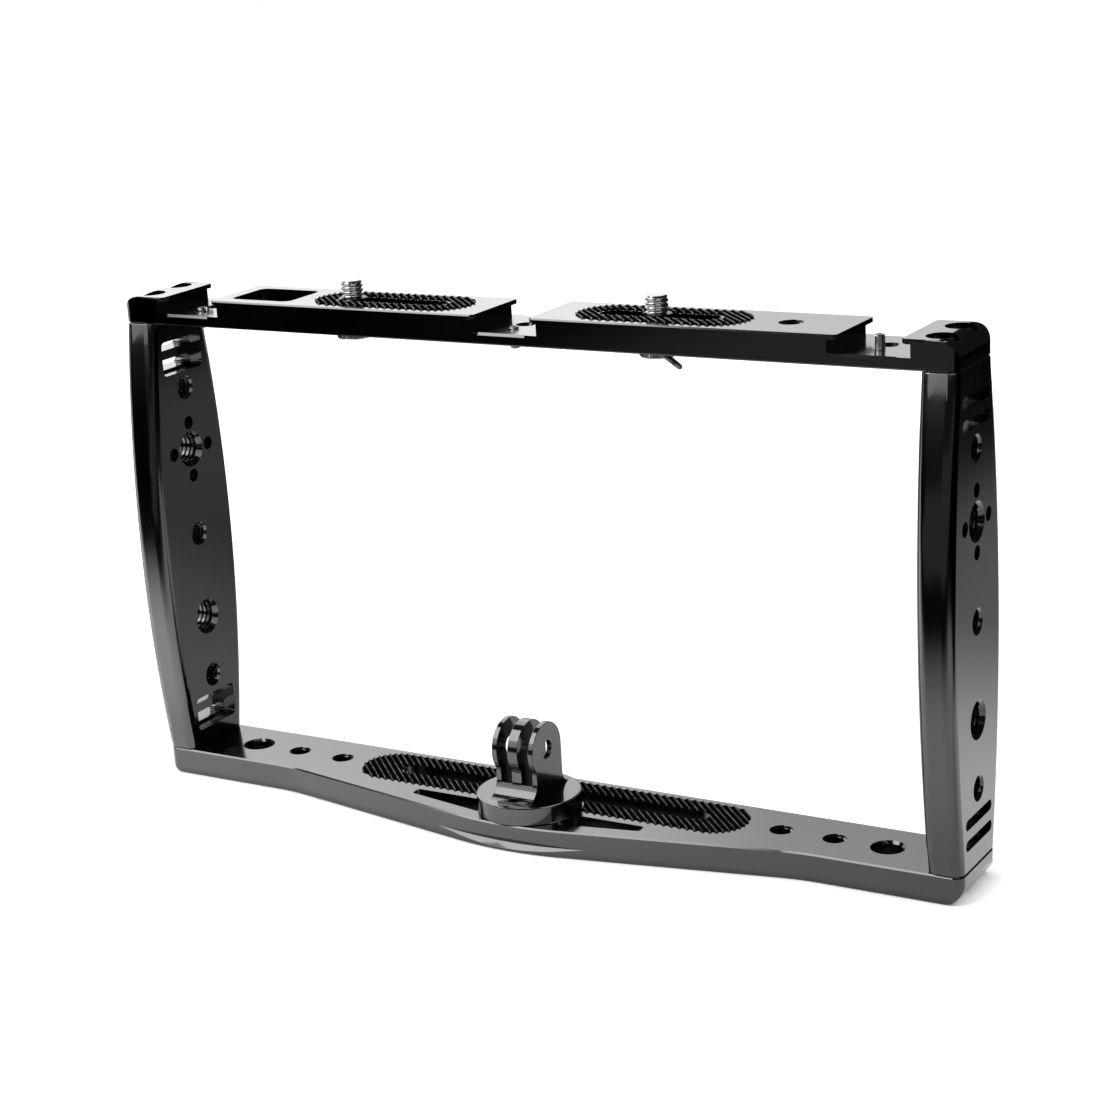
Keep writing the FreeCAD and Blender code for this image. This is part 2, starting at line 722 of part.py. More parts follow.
def strap_anchor(body, side, name, height):
    """A pocket in the inner face with two slots through its floor, for a hand strap round the web between."""
    pocket = new_sketch(body, name + "_pocket_outline", "YZ_Plane", offset=grip_inner * side)
    add_rectangle(pocket, 0.0, height, size.strap_slot_length, size.strap_pocket_height)
    add_cut(body, name + "_strap_pocket", pocket, size.strap_pocket_depth, reverse=side > 0)
    low = plain(height - size.strap_pocket_height / 2) - SNAP
    high = plain(height + size.strap_pocket_height / 2) + SNAP
    dress_edges(body, "Fillet", name + "_pocket_corners", size.strap_slot_width / 2,
                lambda e: runs_along(e, 0) and low < e.BoundBox.ZMin < high)
    slots = new_sketch(body, name + "_strap_slot_outline", "YZ_Plane", offset=grip_inner * side)
    for step in (-1, 1):
        level = height + size.strap_slot_pitch / 2 * step
        add_stadium(slots, 0.0, level, size.strap_slot_length, size.strap_slot_width)
    add_cut(body, name + "_strap_slots", slots, reverse=side > 0)


def grip_holes(body, name, offset, reverse, heights, bore, mouth):
    sketch = new_sketch(body, name + "_points", "YZ_Plane", offset=offset)
    for height in heights:
        add_circle(sketch, 0.0, height, bore)
    return add_hole(body, name, sketch, bore, mouth=mouth, reverse=reverse)


# Rubber pads

def make_pad(name, x, level, length, width, slot_x, slot_length, margin):
    """A flat rubber pad glued round a slot of the bar, not quite in line with the slot's middle."""
    body = new_body(name)
    outline = new_sketch(body, "pad_outline")
    add_stadium(outline, x, 0.0, length, width)
    add_pad(body, "pad_sheet", outline, size.pad_thickness)
    slot = new_sketch(body, "pad_slot_outline", offset=size.pad_thickness)
    add_stadium(slot, slot_x, 0.0, slot_length + margin * 2, size.slot_width + margin * 2)
    add_cut(body, "pad_slot", slot)
    put(body, z=level)
    return body


def make_top_pad(name, x, slot_x):
    return make_pad(name, x, size.frame_height, size.top_pad_length, size.top_pad_width, slot_x,
                    size.top_slot_length, size.top_pad_slot_margin)


def make_bottom_pad():
    """The long pad, cut round the disc of the camera mount that stands beside it."""
    body = make_pad("bottom_pad", -size.bottom_pad_shift, size.bottom_bar_thickness, size.bottom_pad_length,
                    size.bottom_pad_width, 0.0, size.bottom_slot_length, size.bottom_pad_slot_margin)
    notch = new_sketch(body, "disc_notch_outline", offset=size.pad_thickness)
    add_circle(notch, 0.0, -size.mount_setback, size.disc_diameter + size.pad_disc_gap * 2)
    add_cut(body, "disc_notch", notch)
    return body


# Camera screws

def make_camera_screw(name, x, turn):
    """A captive thumb screw: ring-hinge head, plain neck in the slot, clip groove and threaded stud."""
    body = new_body(name)
    web = size.top_bar_thickness + size.screw_seat_gap * 2
    groove_top = web + size.pad_thickness + size.screw_seat_gap
    tip = size.top_bar_thickness + size.stud_reach + size.screw_seat_gap
    head, neck, stud = size.screw_head / 2, size.screw_neck / 2, size.stud_diameter / 2
    groove, groove_floor = size.clip_groove / 2, web - size.screw_seat_gap
    base = -size.screw_head_height
    add_spin(body, "screw_blank", [
        (0.0, base), (head, base), (head, 0.0), (neck, 0.0), (neck, groove_floor), (groove, groove_floor),
        (groove, groove_top), (stud, groove_top), (stud, tip - size.stud_tip_break),
        (stud - size.stud_tip_break, tip), (0.0, tip)])
    hinge = new_sketch(body, "hinge_point", "YZ_Plane", offset=head)
    add_circle(hinge, 0.0, base / 2, size.ring_wire + size.running_clearance * 2)
    bore = add_cut(body, "hinge_bore", hinge, size.ring_stub + size.running_clearance * 4)
    add_mirror(body, "second_hinge_bore", [bore], "YZ_Plane")
    coin = new_sketch(body, "coin_slot_outline", offset=base)
    add_rectangle(coin, 0.0, 0.0, size.screw_coin_slot, size.screw_head + size.edge_break)
    add_cut(body, "coin_slot", coin, size.screw_coin_slot_depth, reverse=True)
    put(body, x=x, z=top_bar_floor - size.screw_seat_gap, turn=turn)
    return body


def make_screw_clip(name, x, turn):
    """A spring clip that keeps the screw in its slot."""
    body = new_body(name)
    outline = new_sketch(body, "clip_outline")
    add_circle(outline, 0.0, 0.0, size.clip_outer)
    add_circle(outline, 0.0, 0.0, size.clip_groove + size.running_clearance * 2)
    add_pad(body, "clip_sheet", outline, size.clip_thickness)
    mouth = new_sketch(body, "clip_mouth_outline", offset=size.clip_thickness)
    reach = size.clip_outer / 2
    add_rectangle(mouth, 0.0, -reach / 2, size.clip_mouth, reach)
    add_cut(body, "clip_mouth", mouth)
    put(body, x=x, z=size.frame_height, turn=turn)
    return body


def make_screw_ring(name, x, turn, fold):
    """A wire ring hinged in the head's two side bores, bent as a D."""
    body = new_body(name)
    half, bend = size.ring_half_width, size.ring_bend
    inner = size.screw_head / 2 - size.ring_stub
    path = new_sketch(body, "ring_path")
    up = Vector(0, 0, 1)
    left_bend = Part.Circle(point(bend - half, bend), up, plain(bend))
    right_bend = Part.Circle(point(half - bend, bend), up, plain(bend))
    bow = Part.Circle(point(0.0, bend), up, plain(half))
    shapes = [
        Part.LineSegment(point(-inner, 0.0), point(bend - half, 0.0)),
        Part.ArcOfCircle(left_bend, math.pi, 3 * math.pi / 2),
        Part.ArcOfCircle(bow, 0, math.pi),
        Part.ArcOfCircle(right_bend, 3 * math.pi / 2, 2 * math.pi),
        Part.LineSegment(point(half - bend, 0.0), point(inner, 0.0)),
    ]
    stub, curl, arch, far_curl, far_stub = [path.addGeometry(shape) for shape in shapes]
    constrain(path, "Tangent", stub, 2, curl, 2)
    constrain(path, "Tangent", curl, 1, arch, 2)
    constrain(path, "Tangent", arch, 1, far_curl, 2)
    constrain(path, "Tangent", far_curl, 1, far_stub, 1)
    constrain(path, "Radius", curl, value=bend)
    constrain(path, "Radius", far_curl, value=bend)
    constrain(path, "Horizontal", stub)
    constrain(path, "Horizontal", far_stub)
    place(path, arch, 3, 0.0, bend)
    place(path, stub, 1, -inner, 0.0)
    place(path, far_stub, 2, inner, 0.0)
    constrain(path, "Radius", arch, value=half)
    wire = new_sketch(body, "wire_section", "YZ_Plane", offset=-inner)
    add_circle(wire, 0.0, 0.0, size.ring_wire)
    doc.recompute()
    sweep = body.newObject("PartDesign::AdditivePipe", "ring_wire")
    sweep.Profile = wire
    sweep.Spine = (path, [])
    sweep.Transition = "Transformed"
    finish_feature(body, sweep)
    pivot = top_bar_floor - size.screw_seat_gap - size.screw_head_height / 2
    put(body, x=x, z=pivot, turn=turn, tilt=-fold)
    return body


# Fasteners

def make_set_screw(name, x, drop):
    """A headless screw with a hexagon socket, whose origin is at its upper end."""
    body = new_body(name)
    blank = new_sketch(body, "screw_outline")
    add_circle(blank, 0.0, 0.0, size.set_screw_diameter)
    add_pad(body, "screw_blank", blank, size.set_screw_length, reverse=True)
    socket = new_sketch(body, "socket_outline")
    add_hexagon(socket, size.set_screw_socket)
    add_cut(body, "socket", socket, size.set_screw_socket_depth)
    put(body, x=x, y=-size.shoe_screw_setback, z=size.frame_height - drop)
    return body


def make_socket_screw(name, diameter, length, head, head_height, socket_width, socket_depth):
    """A socket head screw, whose origin is under its head and whose shank points down."""
    body = new_body(name)
    radius, head_radius = diameter / 2, head / 2
    add_spin(body, "screw_blank", [(0.0, -length), (radius, -length), (radius, 0.0), (head_radius, 0.0),
                                   (head_radius, head_height), (0.0, head_height)])
    socket = new_sketch(body, "socket_outline", offset=head_height)
    add_hexagon(socket, socket_width)
    add_cut(body, "socket", socket, socket_depth)
    return body


def make_bolt_pair(name, side, top):
    """The two bolts that hold one end of one grip, driven through the bar into the grip."""
    bolts = []
    if top:
        level, tilt = size.frame_height - size.bolt_seat_depth, 0.0
    else:
        level, tilt = size.bolt_seat_depth, 180.0
    for row_side in (-1, 1):
        bolt = make_socket_screw("%s_%s" % (name, "front" if row_side < 0 else "back"), size.bolt_diameter,
                                 size.bolt_length, size.bolt_head, size.bolt_head_height, size.bolt_socket,
                                 size.bolt_socket_depth)
        put(bolt, x=bolt_x * side, y=size.bolt_y * row_side, z=level, tilt=tilt)
        bolts.append(bolt)
    pair = doc.addObject("Part::Compound", name)
    pair.Label = name
    pair.Links = bolts
    doc.recompute()
    return pair


# Three-prong mount

def make_prong_mount():
    """A round base with three prongs on a flared foot, turned and milled from one piece."""
    body = new_body("prong_mount")
    disc = new_sketch(body, "disc_outline")
    add_circle(disc, 0.0, 0.0, size.disc_diameter)
    add_pad(body, "disc", disc, size.disc_thickness)
    dress_edges(body, "Chamfer", "disc_rim", size.disc_break, lambda e: lies_at(e, 2, size.disc_thickness))
    total = size.middle_prong + size.prong_gap * 2 + size.outer_prong * 2
    prong_outline(body, total)
    floor = size.disc_thickness + size.prong_foot_round
    gaps = new_sketch(body, "gap_outline", "XZ_Plane")
    crown = size.prong_axis_height + size.prong_radius
    for side in (-1, 1):
        x = (size.middle_prong + size.prong_gap) / 2 * side
        add_rectangle(gaps, x, (floor + crown) / 2, size.prong_gap, crown - floor)
    add_cut(body, "prong_gaps", gaps, size.disc_diameter, symmetric=True)
    axle = new_sketch(body, "prong_bore_point", "YZ_Plane")
    add_circle(axle, 0.0, size.prong_axis_height, size.prong_bore)
    add_cut(body, "prong_bore", axle, total * 2, symmetric=True)
    screw = new_sketch(body, "screw_bore_point")
    add_circle(screw, 0.0, 0.0, size.mount_screw_diameter + size.running_clearance * 2)
    add_cut(body, "screw_bore", screw, size.mount_screw_engagement + size.bolt_bore_spare, reverse=True)
    put(body, y=-size.mount_setback, z=size.bottom_bar_thickness)
    return body


def prong_outline(body, total):
    """Side view of the prongs: a round crown, straight flanks and a foot that flares out to the disc."""
    radius, flare = size.prong_radius, size.prong_foot_round
    base, axis = size.disc_thickness, size.prong_axis_height
    shoulder = base + flare
    toe = radius + flare
    sketch = new_sketch(body, "prong_outline", "YZ_Plane")
    up = Vector(0, 0, 1)
    crown = Part.Circle(point(0.0, axis), up, plain(radius))
    right_flare = Part.Circle(point(toe, shoulder), up, plain(flare))
    left_flare = Part.Circle(point(-toe, shoulder), up, plain(flare))
    shapes = [
        Part.ArcOfCircle(crown, 0, math.pi),
        Part.LineSegment(point(-radius, axis), point(-radius, shoulder)),
        Part.ArcOfCircle(left_flare, 3 * math.pi / 2, 2 * math.pi),
        Part.LineSegment(point(-toe, base), point(toe, base)),
        Part.ArcOfCircle(right_flare, math.pi, 3 * math.pi / 2),
        Part.LineSegment(point(radius, shoulder), point(radius, axis)),
    ]
    top, left, left_arc, sole, right_arc, right = [sketch.addGeometry(shape) for shape in shapes]
    constrain(sketch, "Tangent", top, 2, left, 1)
    constrain(sketch, "Tangent", left, 2, left_arc, 2)
    constrain(sketch, "Coincident", left_arc, 1, sole, 1)
    constrain(sketch, "Coincident", sole, 2, right_arc, 2)
    constrain(sketch, "Tangent", right_arc, 1, right, 1)
    constrain(sketch, "Tangent", right, 2, top, 1)
    place(sketch, top, 3, 0.0, axis)
    constrain(sketch, "Radius", top, value=radius)
    constrain(sketch, "Radius", left_arc, value=flare)
    constrain(sketch, "Radius", right_arc, value=flare)
    place(sketch, sole, 1, -toe, base)
    place(sketch, sole, 2, toe, base)
    return add_pad(body, "prongs", sketch, total, symmetric=True)


def make_mount_screw():
    shank = size.bottom_bar_thickness - size.mount_screw_seat_depth + size.mount_screw_engagement
    body = make_socket_screw("mount_screw", size.mount_screw_diameter, shank, size.mount_screw_head,
                             size.mount_screw_head_height, size.mount_screw_socket,
                             size.mount_screw_socket_depth)
    put(body, y=-size.mount_setback, z=size.mount_screw_seat_depth, tilt=180.0)
    return body


# The whole frame

parts = [
    make_top_bar(),
    make_bottom_bar(),
    make_grip("left_handle", -1),
    make_grip("right_handle", 1),
    make_top_pad("top_pad_left", -size.left_pad_x, -size.top_slot_x),
    make_top_pad("top_pad_right", size.right_pad_x, size.top_slot_x),
    make_bottom_pad(),
    make_camera_screw("camera_screw_left", -size.left_screw_x, -size.left_screw_turn),
    make_camera_screw("camera_screw_right", size.right_screw_x, -size.right_screw_turn),
    make_screw_clip("screw_clip_left", -size.left_screw_x, -size.left_screw_turn),
    make_screw_clip("screw_clip_right", size.right_screw_x, -size.right_screw_turn),
    make_screw_ring("screw_ring_left", -size.left_screw_x, -size.left_screw_turn, size.left_ring_fold),
    make_screw_ring("screw_ring_right", size.right_screw_x, -size.right_screw_turn, size.right_ring_fold),
    make_set_screw("shoe_screw_left", -size.shoe_pitch, size.left_set_screw_drop),
    make_set_screw("shoe_screw_middle", 0.0, size.middle_set_screw_drop),
    make_set_screw("shoe_screw_right", size.shoe_pitch, size.right_set_screw_drop),
    make_prong_mount(),
    make_mount_screw(),
    make_bolt_pair("top_left_bolts", -1, top=True),
    make_bolt_pair("top_right_bolts", 1, top=True),
    make_bolt_pair("bottom_left_bolts", -1, top=False),
    make_bolt_pair("bottom_right_bolts", 1, top=False),
]
doc.recompute()

for item in doc.Objects:
    if "Invalid" in item.State or "Error" in item.State:
        raise RuntimeError("%s failed: %s" % (item.Label, item.State))
for part in parts:
    if part.Shape.isNull() or not part.Shape.isValid():
        raise RuntimeError("%s has no valid shape" % part.Label)

os.makedirs("parts", exist_ok=True)
for part in parts:
    part.Shape.exportStep("parts/%s.step" % part.Label)
    print("%-22s %10.2f mm3, %d solid(s)" % (part.Label, part.Shape.Volume, len(part.Shape.Solids)))
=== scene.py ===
import math

import bmesh
import bpy
from bpy.props import FloatProperty, FloatVectorProperty, IntProperty, PointerProperty
from bpy.types import Operator, Panel, PropertyGroup
from mathutils import Matrix, Vector


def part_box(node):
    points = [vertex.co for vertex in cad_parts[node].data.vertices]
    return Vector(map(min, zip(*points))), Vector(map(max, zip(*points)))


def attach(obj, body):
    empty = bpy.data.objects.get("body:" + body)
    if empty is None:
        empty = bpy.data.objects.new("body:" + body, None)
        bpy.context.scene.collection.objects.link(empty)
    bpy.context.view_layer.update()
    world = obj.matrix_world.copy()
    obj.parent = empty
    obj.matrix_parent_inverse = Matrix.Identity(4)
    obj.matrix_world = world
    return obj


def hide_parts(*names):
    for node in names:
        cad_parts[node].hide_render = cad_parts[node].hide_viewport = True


bl_info = {
    "name": "Dual Grip Camera Stabilizer",
    "version": (1, 0, 0),
    "blender": (4, 5, 0),
    "location": "3D View > Sidebar > Stabilizer",
    "description": "Finishes a two-grip camera frame with anodising, ribbed pads and cut threads",
    "category": "Object",
}

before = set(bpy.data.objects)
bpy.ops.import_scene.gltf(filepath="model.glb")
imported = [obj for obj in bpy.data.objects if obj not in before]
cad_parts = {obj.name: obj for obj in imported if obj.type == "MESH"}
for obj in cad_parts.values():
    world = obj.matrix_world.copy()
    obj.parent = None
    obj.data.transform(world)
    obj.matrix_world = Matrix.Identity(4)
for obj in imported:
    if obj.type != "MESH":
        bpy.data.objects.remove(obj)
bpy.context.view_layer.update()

MM = 0.001
# Points nearer than this are merged.
MERGE = 0.001 * MM
# An edge is drawn sharp where its two faces turn by more than this.
SHARP_ANGLE = math.radians(35)
# Lines of points round a screw's head. Every other one is drawn in for the knurl.
HEAD_STEPS = 96

# Depth of a cut and of a rolled thread, as a share of the pitch.
CUT_DEPTH, ROLLED_DEPTH = 0.6134, 0.42

# A tapped hole's thread as (radius, pitch): 1/4 inch with 20 turns to the inch, or 3/8 inch with 16.
QUARTER_INCH = (3.175 * MM, 1.27 * MM)
THREE_EIGHTHS = (4.76 * MM, 1.5875 * MM)
# All tapped holes lie in one plane. Those of the bars go by X and those of the grips by height, in mm.
TAP_Y = 4.65 * MM
TOP_BAR_TAPS = ((80.5, QUARTER_INCH),)
BOTTOM_BAR_TAPS = tuple((side * x, thread) for x, thread in (
    (73.3, QUARTER_INCH), (89.2, QUARTER_INCH), (104.8, THREE_EIGHTHS)) for side in (-1, 1))
GRIP_TAPS = ((29.0, QUARTER_INCH), (48.0, THREE_EIGHTHS), (74.6, QUARTER_INCH), (101.2, THREE_EIGHTHS),
             (120.3, QUARTER_INCH))

# The groove in the nose: where its mouth and its two lips lie, and the line where its walls meet.
GROOVE_MOUTH_Y = -18.5 * MM
GROOVE_LOW_Z, GROOVE_HIGH_Z = 0.5 * MM, 4.5 * MM
GROOVE_BOTTOM_Y, GROOVE_BOTTOM_Z = -19.15 * MM, 2.95 * MM
# How far its bottom moves back and down for each length that its lip stands in front of that line.
GROOVE_BACK, GROOVE_DROP = 0.377, 0.181

# The mount's turned disc, its prongs and the screw that holds it.
DISC_RADIUS, DISC_HEIGHT = 15 * MM, 5.2 * MM
PRONGS_HALF_WIDTH, PRONG_GAP, GAP_X = 6.7 * MM, 3.5 * MM, 3.35 * MM
PRONG_BORE_RADIUS, PRONG_BORE_Z = 2.65 * MM, 18.3 * MM
MOUNT_BORE_RADIUS, MOUNT_BORE_DEPTH = 3.05 * MM, 7.5 * MM

# Each pad's slot as (middle in X, length, width) in mm, and the opening for the mount's disc.
PAD_SLOTS = {"top_pad_left": (-42.4, 37.4, 8.5), "top_pad_right": (42.4, 37.4, 8.5),
             "bottom_pad": (0.0, 101.6, 7.2)}
DISC_OPENING_RADIUS, DISC_OPENING_Y = 15.4 * MM, -7.35 * MM

# White cards that the metal mirrors: name, middle, width, height and turn, then how the glow changes with
# height and along X, each as (start, end, glow at the start, glow at the end), with lengths in metres.
CARDS = (
    ("back_card", (-0.55, 0.6, 0.4), 0.9, 0.75, 0, (0.15, 0.38, 0.64, 1.86), (-0.31, -0.22, 1.0, 0.7)),
    ("high_card", (-0.55, 0.62, 1.1), 1.4, 0.6, 0, (0.8, 1.4, 2.0, 2.6), (-1.0, 1.0, 1.0, 1.0)),
    ("front_card", (-0.6, -0.92, 0.45), 1.6, 0.5, -33, (0.2, 0.7, 1.3, 1.9), (-1.0, 1.0, 1.0, 1.0)),
    ("left_card", (-1.3, 0.05, 0.45), 1.1, 0.5, 90, (0.2, 0.7, 1.3, 1.9), (-1.4, 1.0, 1.0, 1.0)),
    ("right_card", (0.8, -0.75, 0.8), 1.3, 0.9, 45, (0.35, 1.2, 1.2, 1.6), (0.0, 1.0, 1.0, 1.0)))

CAMERA_PLACE = (0.354003, -0.57769, 0.277478)
CAMERA_HEADING, CAMERA_PITCH, CAMERA_ROLL = 31.760856, 16.658199, -3.486295
CAMERA_SHIFT = (0.0284, 0.0241)


def linear(code):
    """Turns an sRGB hex colour into the linear values that shaders use."""
    parts = [int(code[i:i + 2], 16) / 255 for i in (1, 3, 5)]
    return tuple(c / 12.92 if c <= 0.04045 else ((c + 0.055) / 1.055) ** 2.4 for c in parts)


def opaque(colour):
    return (*colour, 1.0)


# Sizes and colours that a user would change

def colour_property(name, description, code):
    return FloatVectorProperty(name=name, description=description, default=linear(code), subtype="COLOR",
                               size=3, min=0.0, max=1.0)


def length_property(name, description, default, lowest=0.0):
    """A length whose default and lowest value are in mm."""
    return FloatProperty(name=name, description=description, default=default * MM, min=lowest * MM,
                         unit="LENGTH")


class StabilizerFinishes(PropertyGroup):
    anodised: colour_property("Anodised aluminium", "Dyed oxide of the bars, grips and mount", "#303032")
    rubber: colour_property("Rubber", "Moulded rubber of the three pads", "#080808")
    # The two crest colours are a painted highlight along the ribs' crests. It is lighter on the top pads,
    # which catch more light from above.
    top_crest_highlight: colour_property("Top crests", "Rubbed crests of the ribs on the two top pads", "#a2a2a2")
    bottom_crest_highlight: colour_property("Bottom crests", "Rubbed crests of the ribs on the long pad", "#7c7c7c")
    zinc: colour_property("Zinc plate", "Plating of the camera screws and set screws", "#cbccce")
    wire: colour_property("Wire", "Drawn wire of the folding rings", "#626365")
    oxide: colour_property("Black oxide", "Finish of the socket head screws and clips", "#2b2a2b")


class StabilizerPads(PropertyGroup):
    rib_spacing: length_property("Rib spacing", "Distance between ribs, square to them", 1.73, 0.5)
    rib_depth: length_property("Rib depth", "Height of a rib above the valley beside it", 0.46)
    rib_angle: FloatProperty(name="Rib angle", description="Turn of the ribs from the length of the bar",
                             default=math.radians(-45), subtype="ANGLE")
    bead_spacing: length_property("Bead spacing", "Distance between the cuts across each rib", 0.95, 0.3)
    top_bead_depth: length_property("Top bead depth", "Depth of the cuts on the two top pads", 0.2)
    bottom_bead_depth: length_property("Bottom bead depth", "Depth of the cuts on the long pad", 0.03)
    rim_scallop: length_property("Rim scallop", "How far the rim draws in between two ribs", 0.35)
    mesh_step: length_property("Mesh step", "Distance between the points of the relief", 0.2, 0.1)


class StabilizerThreads(PropertyGroup):
    camera_pitch: length_property("Camera thread pitch", "Pitch of the 1/4 inch studs", 1.27, 0.5)
    set_screw_pitch: length_property("Set screw pitch", "Pitch of the M3 set screws", 0.5, 0.2)
    bolt_pitch: length_property("Grip bolt pitch", "Pitch of the M4 bolts in the grips", 0.7, 0.2)
    mount_pitch: length_property("Mount screw pitch", "Pitch of the M6 screw of the mount", 1.0, 0.2)
    turn_steps: IntProperty(name="Steps in a turn", description="Faces round one turn of a thread",
                            default=36, min=12)


class StabilizerStudio(PropertyGroup):
    floor: colour_property("Floor", "Colour of the paper sweep", "#f2f2f2")
    floor_size: FloatProperty(name="Floor size", description="Width of the paper sweep", default=6.0,
                              min=1.0, unit="LENGTH")
    key_power: FloatProperty(name="Key light", description="Power of the large soft light", default=11.0,
                             min=0.0, unit="POWER")
    fill_power: FloatProperty(name="Fill light", description="Power of the light on the right", default=3.0,
                              min=0.0, unit="POWER")
    sky: FloatProperty(name="Room light", description="Strength of the even light from all round",
                       default=0.45, min=0.0)
    lens: FloatProperty(name="Lens", description="Focal length on a sensor 36 mm wide", default=82.521,
                        min=1.0, unit="CAMERA")


# Mesh tools

def foot_of(low, high):
    """The middle of a box's underside."""
    return Vector(((low.x + high.x) / 2, (low.y + high.y) / 2, low.z))


def smooth(mesh):
    """Shades a mesh smooth except at its sharp edges."""
    mesh.shade_smooth()
    mesh.set_sharp_from_angle(angle=SHARP_ANGLE)


def new_piece(name, bm, material):
    """Turns a bmesh into an object at the origin."""
    bmesh.ops.recalc_face_normals(bm, faces=bm.faces)
    mesh = bpy.data.meshes.new(name)
    bm.to_mesh(mesh)
    bm.free()
    mesh.materials.append(material)
    smooth(mesh)
    piece = bpy.data.objects.new(name, mesh)
    bpy.context.scene.collection.objects.link(piece)
    return piece


def cut_piece(piece, tool, operation="DIFFERENCE"):
    """Applies a solid tool to a piece, then throws the tool away."""
    cut = piece.modifiers.new("Cut", "BOOLEAN")
    cut.operation, cut.object, cut.solver = operation, tool, "EXACT"
    view = bpy.context.evaluated_depsgraph_get()
    shape = bpy.data.meshes.new_from_object(piece.evaluated_get(view))
    piece.modifiers.remove(cut)
    old, piece.data = piece.data, shape
    bpy.data.meshes.remove(old)
    bpy.data.objects.remove(tool)
    smooth(piece.data)


def pour(source, target):
    """Adds one bmesh to another and frees it."""
    copy = bpy.data.meshes.new("copy")
    source.to_mesh(copy)
    source.free()
    target.from_mesh(copy)
    bpy.data.meshes.remove(copy)


def push_out(bm, face, way):
    """Makes a face into a solid by moving a copy of it along a vector."""
    solid = bmesh.ops.extrude_face_region(bm, geom=[face], use_keep_orig=True)
    moved = [item for item in solid["geom"] if isinstance(item, bmesh.types.BMVert)]
    bmesh.ops.translate(bm, verts=moved, vec=way)


def block(size, middle):
    """A box, used as the tool for gaps and slots."""
    bm = bmesh.new()
    bmesh.ops.create_cube(bm, size=1.0)
    bmesh.ops.scale(bm, verts=bm.verts, vec=size)
    bmesh.ops.translate(bm, verts=bm.verts, vec=middle)
    return bm


def in_groove(face):
    """Whether a face lies in the groove of the nose."""
    middle = face.calc_center_median()
    return middle.y < GROOVE_MOUTH_Y and GROOVE_LOW_Z < middle.z < GROOVE_HIGH_Z


def shade_flats(piece, axis):
    """Keeps a machined piece's flats flat up to its rounded edges: an edge is sharp between the flats that
    face along the axis, the walls that run along it, the nose's groove and everything else."""
    bm = bmesh.new()
    bm.from_mesh(piece.data)
    bm.normal_update()

    def zone(face):
        slope = face.normal[axis]
        if abs(slope) > 0.999:
            return "flat facing up" if slope > 0 else "flat facing down"
        if abs(slope) < 0.03:
            return "wall"
        if in_groove(face):
            return "groove facing up" if slope > 0 else "groove facing down"
        return "rounded edge"

    zones = {face: zone(face) for face in bm.faces}
    for edge in bm.edges:
        if edge.is_manifold:
            first, second = edge.link_faces
            if zones[first] != zones[second] and edge.calc_face_angle() > math.radians(1.5):
                edge.smooth = False
    bm.to_mesh(piece.data)
    bm.free()
    shading = piece.modifiers.new("Flat Faces", "WEIGHTED_NORMAL")
    shading.keep_sharp = True


def spin_solid(bm, outline, centre, steps):
    """Turns an outline of (radius, height) points round the upright axis through a point."""
    points = [bm.verts.new(centre + Vector((radius, 0.0, height))) for radius, height in outline]
    rim = [bm.edges.new(pair) for pair in zip(points, points[1:])]
    bmesh.ops.spin(bm, geom=points + rim, cent=centre, axis=(0, 0, 1), angle=math.tau, steps=steps,
                   use_merge=True)
    bmesh.ops.remove_doubles(bm, verts=bm.verts, dist=MERGE)


def threaded_rod(bm, centre, low, high, radius, pitch, steps, tip=0.0, foot=0.0, rolled=False):
    """A rod with one thread along it, closed by flat ends that are chamfered by tip and foot. A cut thread
    has 60 degree flanks, and a rolled one is rounded and a little shallower."""
    rod = bmesh.new()
    if rolled:
        depth = ROLLED_DEPTH * pitch
        wave = [(radius - depth * (0.5 + 0.5 * math.cos(math.tau * k / 12)) ** 1.6, k / 12)
                for k in range(13)]
    else:
        root = radius - CUT_DEPTH * pitch
        wave = [(root, 0.0), (root, 0.25), (radius, 0.5625), (radius, 0.6875), (root, 1.0)]
    turns = math.ceil((high - low) / pitch) + 2
    start = low - pitch
    points = [rod.verts.new((r, 0.0, start + h * pitch)) for r, h in wave]
    line = [rod.edges.new(pair) for pair in zip(points, points[1:])]
    bmesh.ops.spin(rod, geom=points + line, cent=(0, 0, 0), axis=(0, 0, 1), angle=math.tau * turns,
                   steps=steps * turns, dvec=(0, 0, pitch / steps))
    bmesh.ops.remove_doubles(rod, verts=rod.verts, dist=0.002 * MM)
    for level, upward in ((low, False), (high, True)):
        bmesh.ops.bisect_plane(rod, geom=rod.verts[:] + rod.edges[:] + rod.faces[:], dist=0.0001 * MM,
                               plane_co=(0, 0, level), plane_no=(0, 0, 1), clear_outer=upward,
                               clear_inner=not upward)
    bmesh.ops.holes_fill(rod, edges=[edge for edge in rod.edges if edge.is_boundary], sides=0)
    for vert in rod.verts:
        across = math.hypot(vert.co.x, vert.co.y)
        limit = min(radius, radius - tip + (high - vert.co.z) if tip else radius,
                    radius - foot + (vert.co.z - low) if foot else radius)
        if across > limit:
            vert.co.x *= limit / across
            vert.co.y *= limit / across
    bmesh.ops.translate(rod, verts=rod.verts, vec=centre)
    bmesh.ops.recalc_face_normals(rod, faces=rod.faces)
    pour(rod, bm)


def prism(centre, low, high, radius, sides):
    """An upright prism, used as the tool for sockets and bores."""
    bm = bmesh.new()
    bmesh.ops.create_circle(bm, cap_ends=True, segments=sides, radius=radius)
    bmesh.ops.translate(bm, verts=bm.verts, vec=(centre[0], centre[1], low))
    push_out(bm, bm.faces[:][0], (0, 0, high - low))
    return bm


def lying_bore(low, high, radius, sides, middle, way=1):
    """A round tool that lies along X."""
    bm = prism((0.0, 0.0), low, high, radius, sides)
    bmesh.ops.rotate(bm, verts=bm.verts, matrix=Matrix.Rotation(way * math.pi / 2, 3, "Y"))
    bmesh.ops.translate(bm, verts=bm.verts, vec=middle)
    return bm


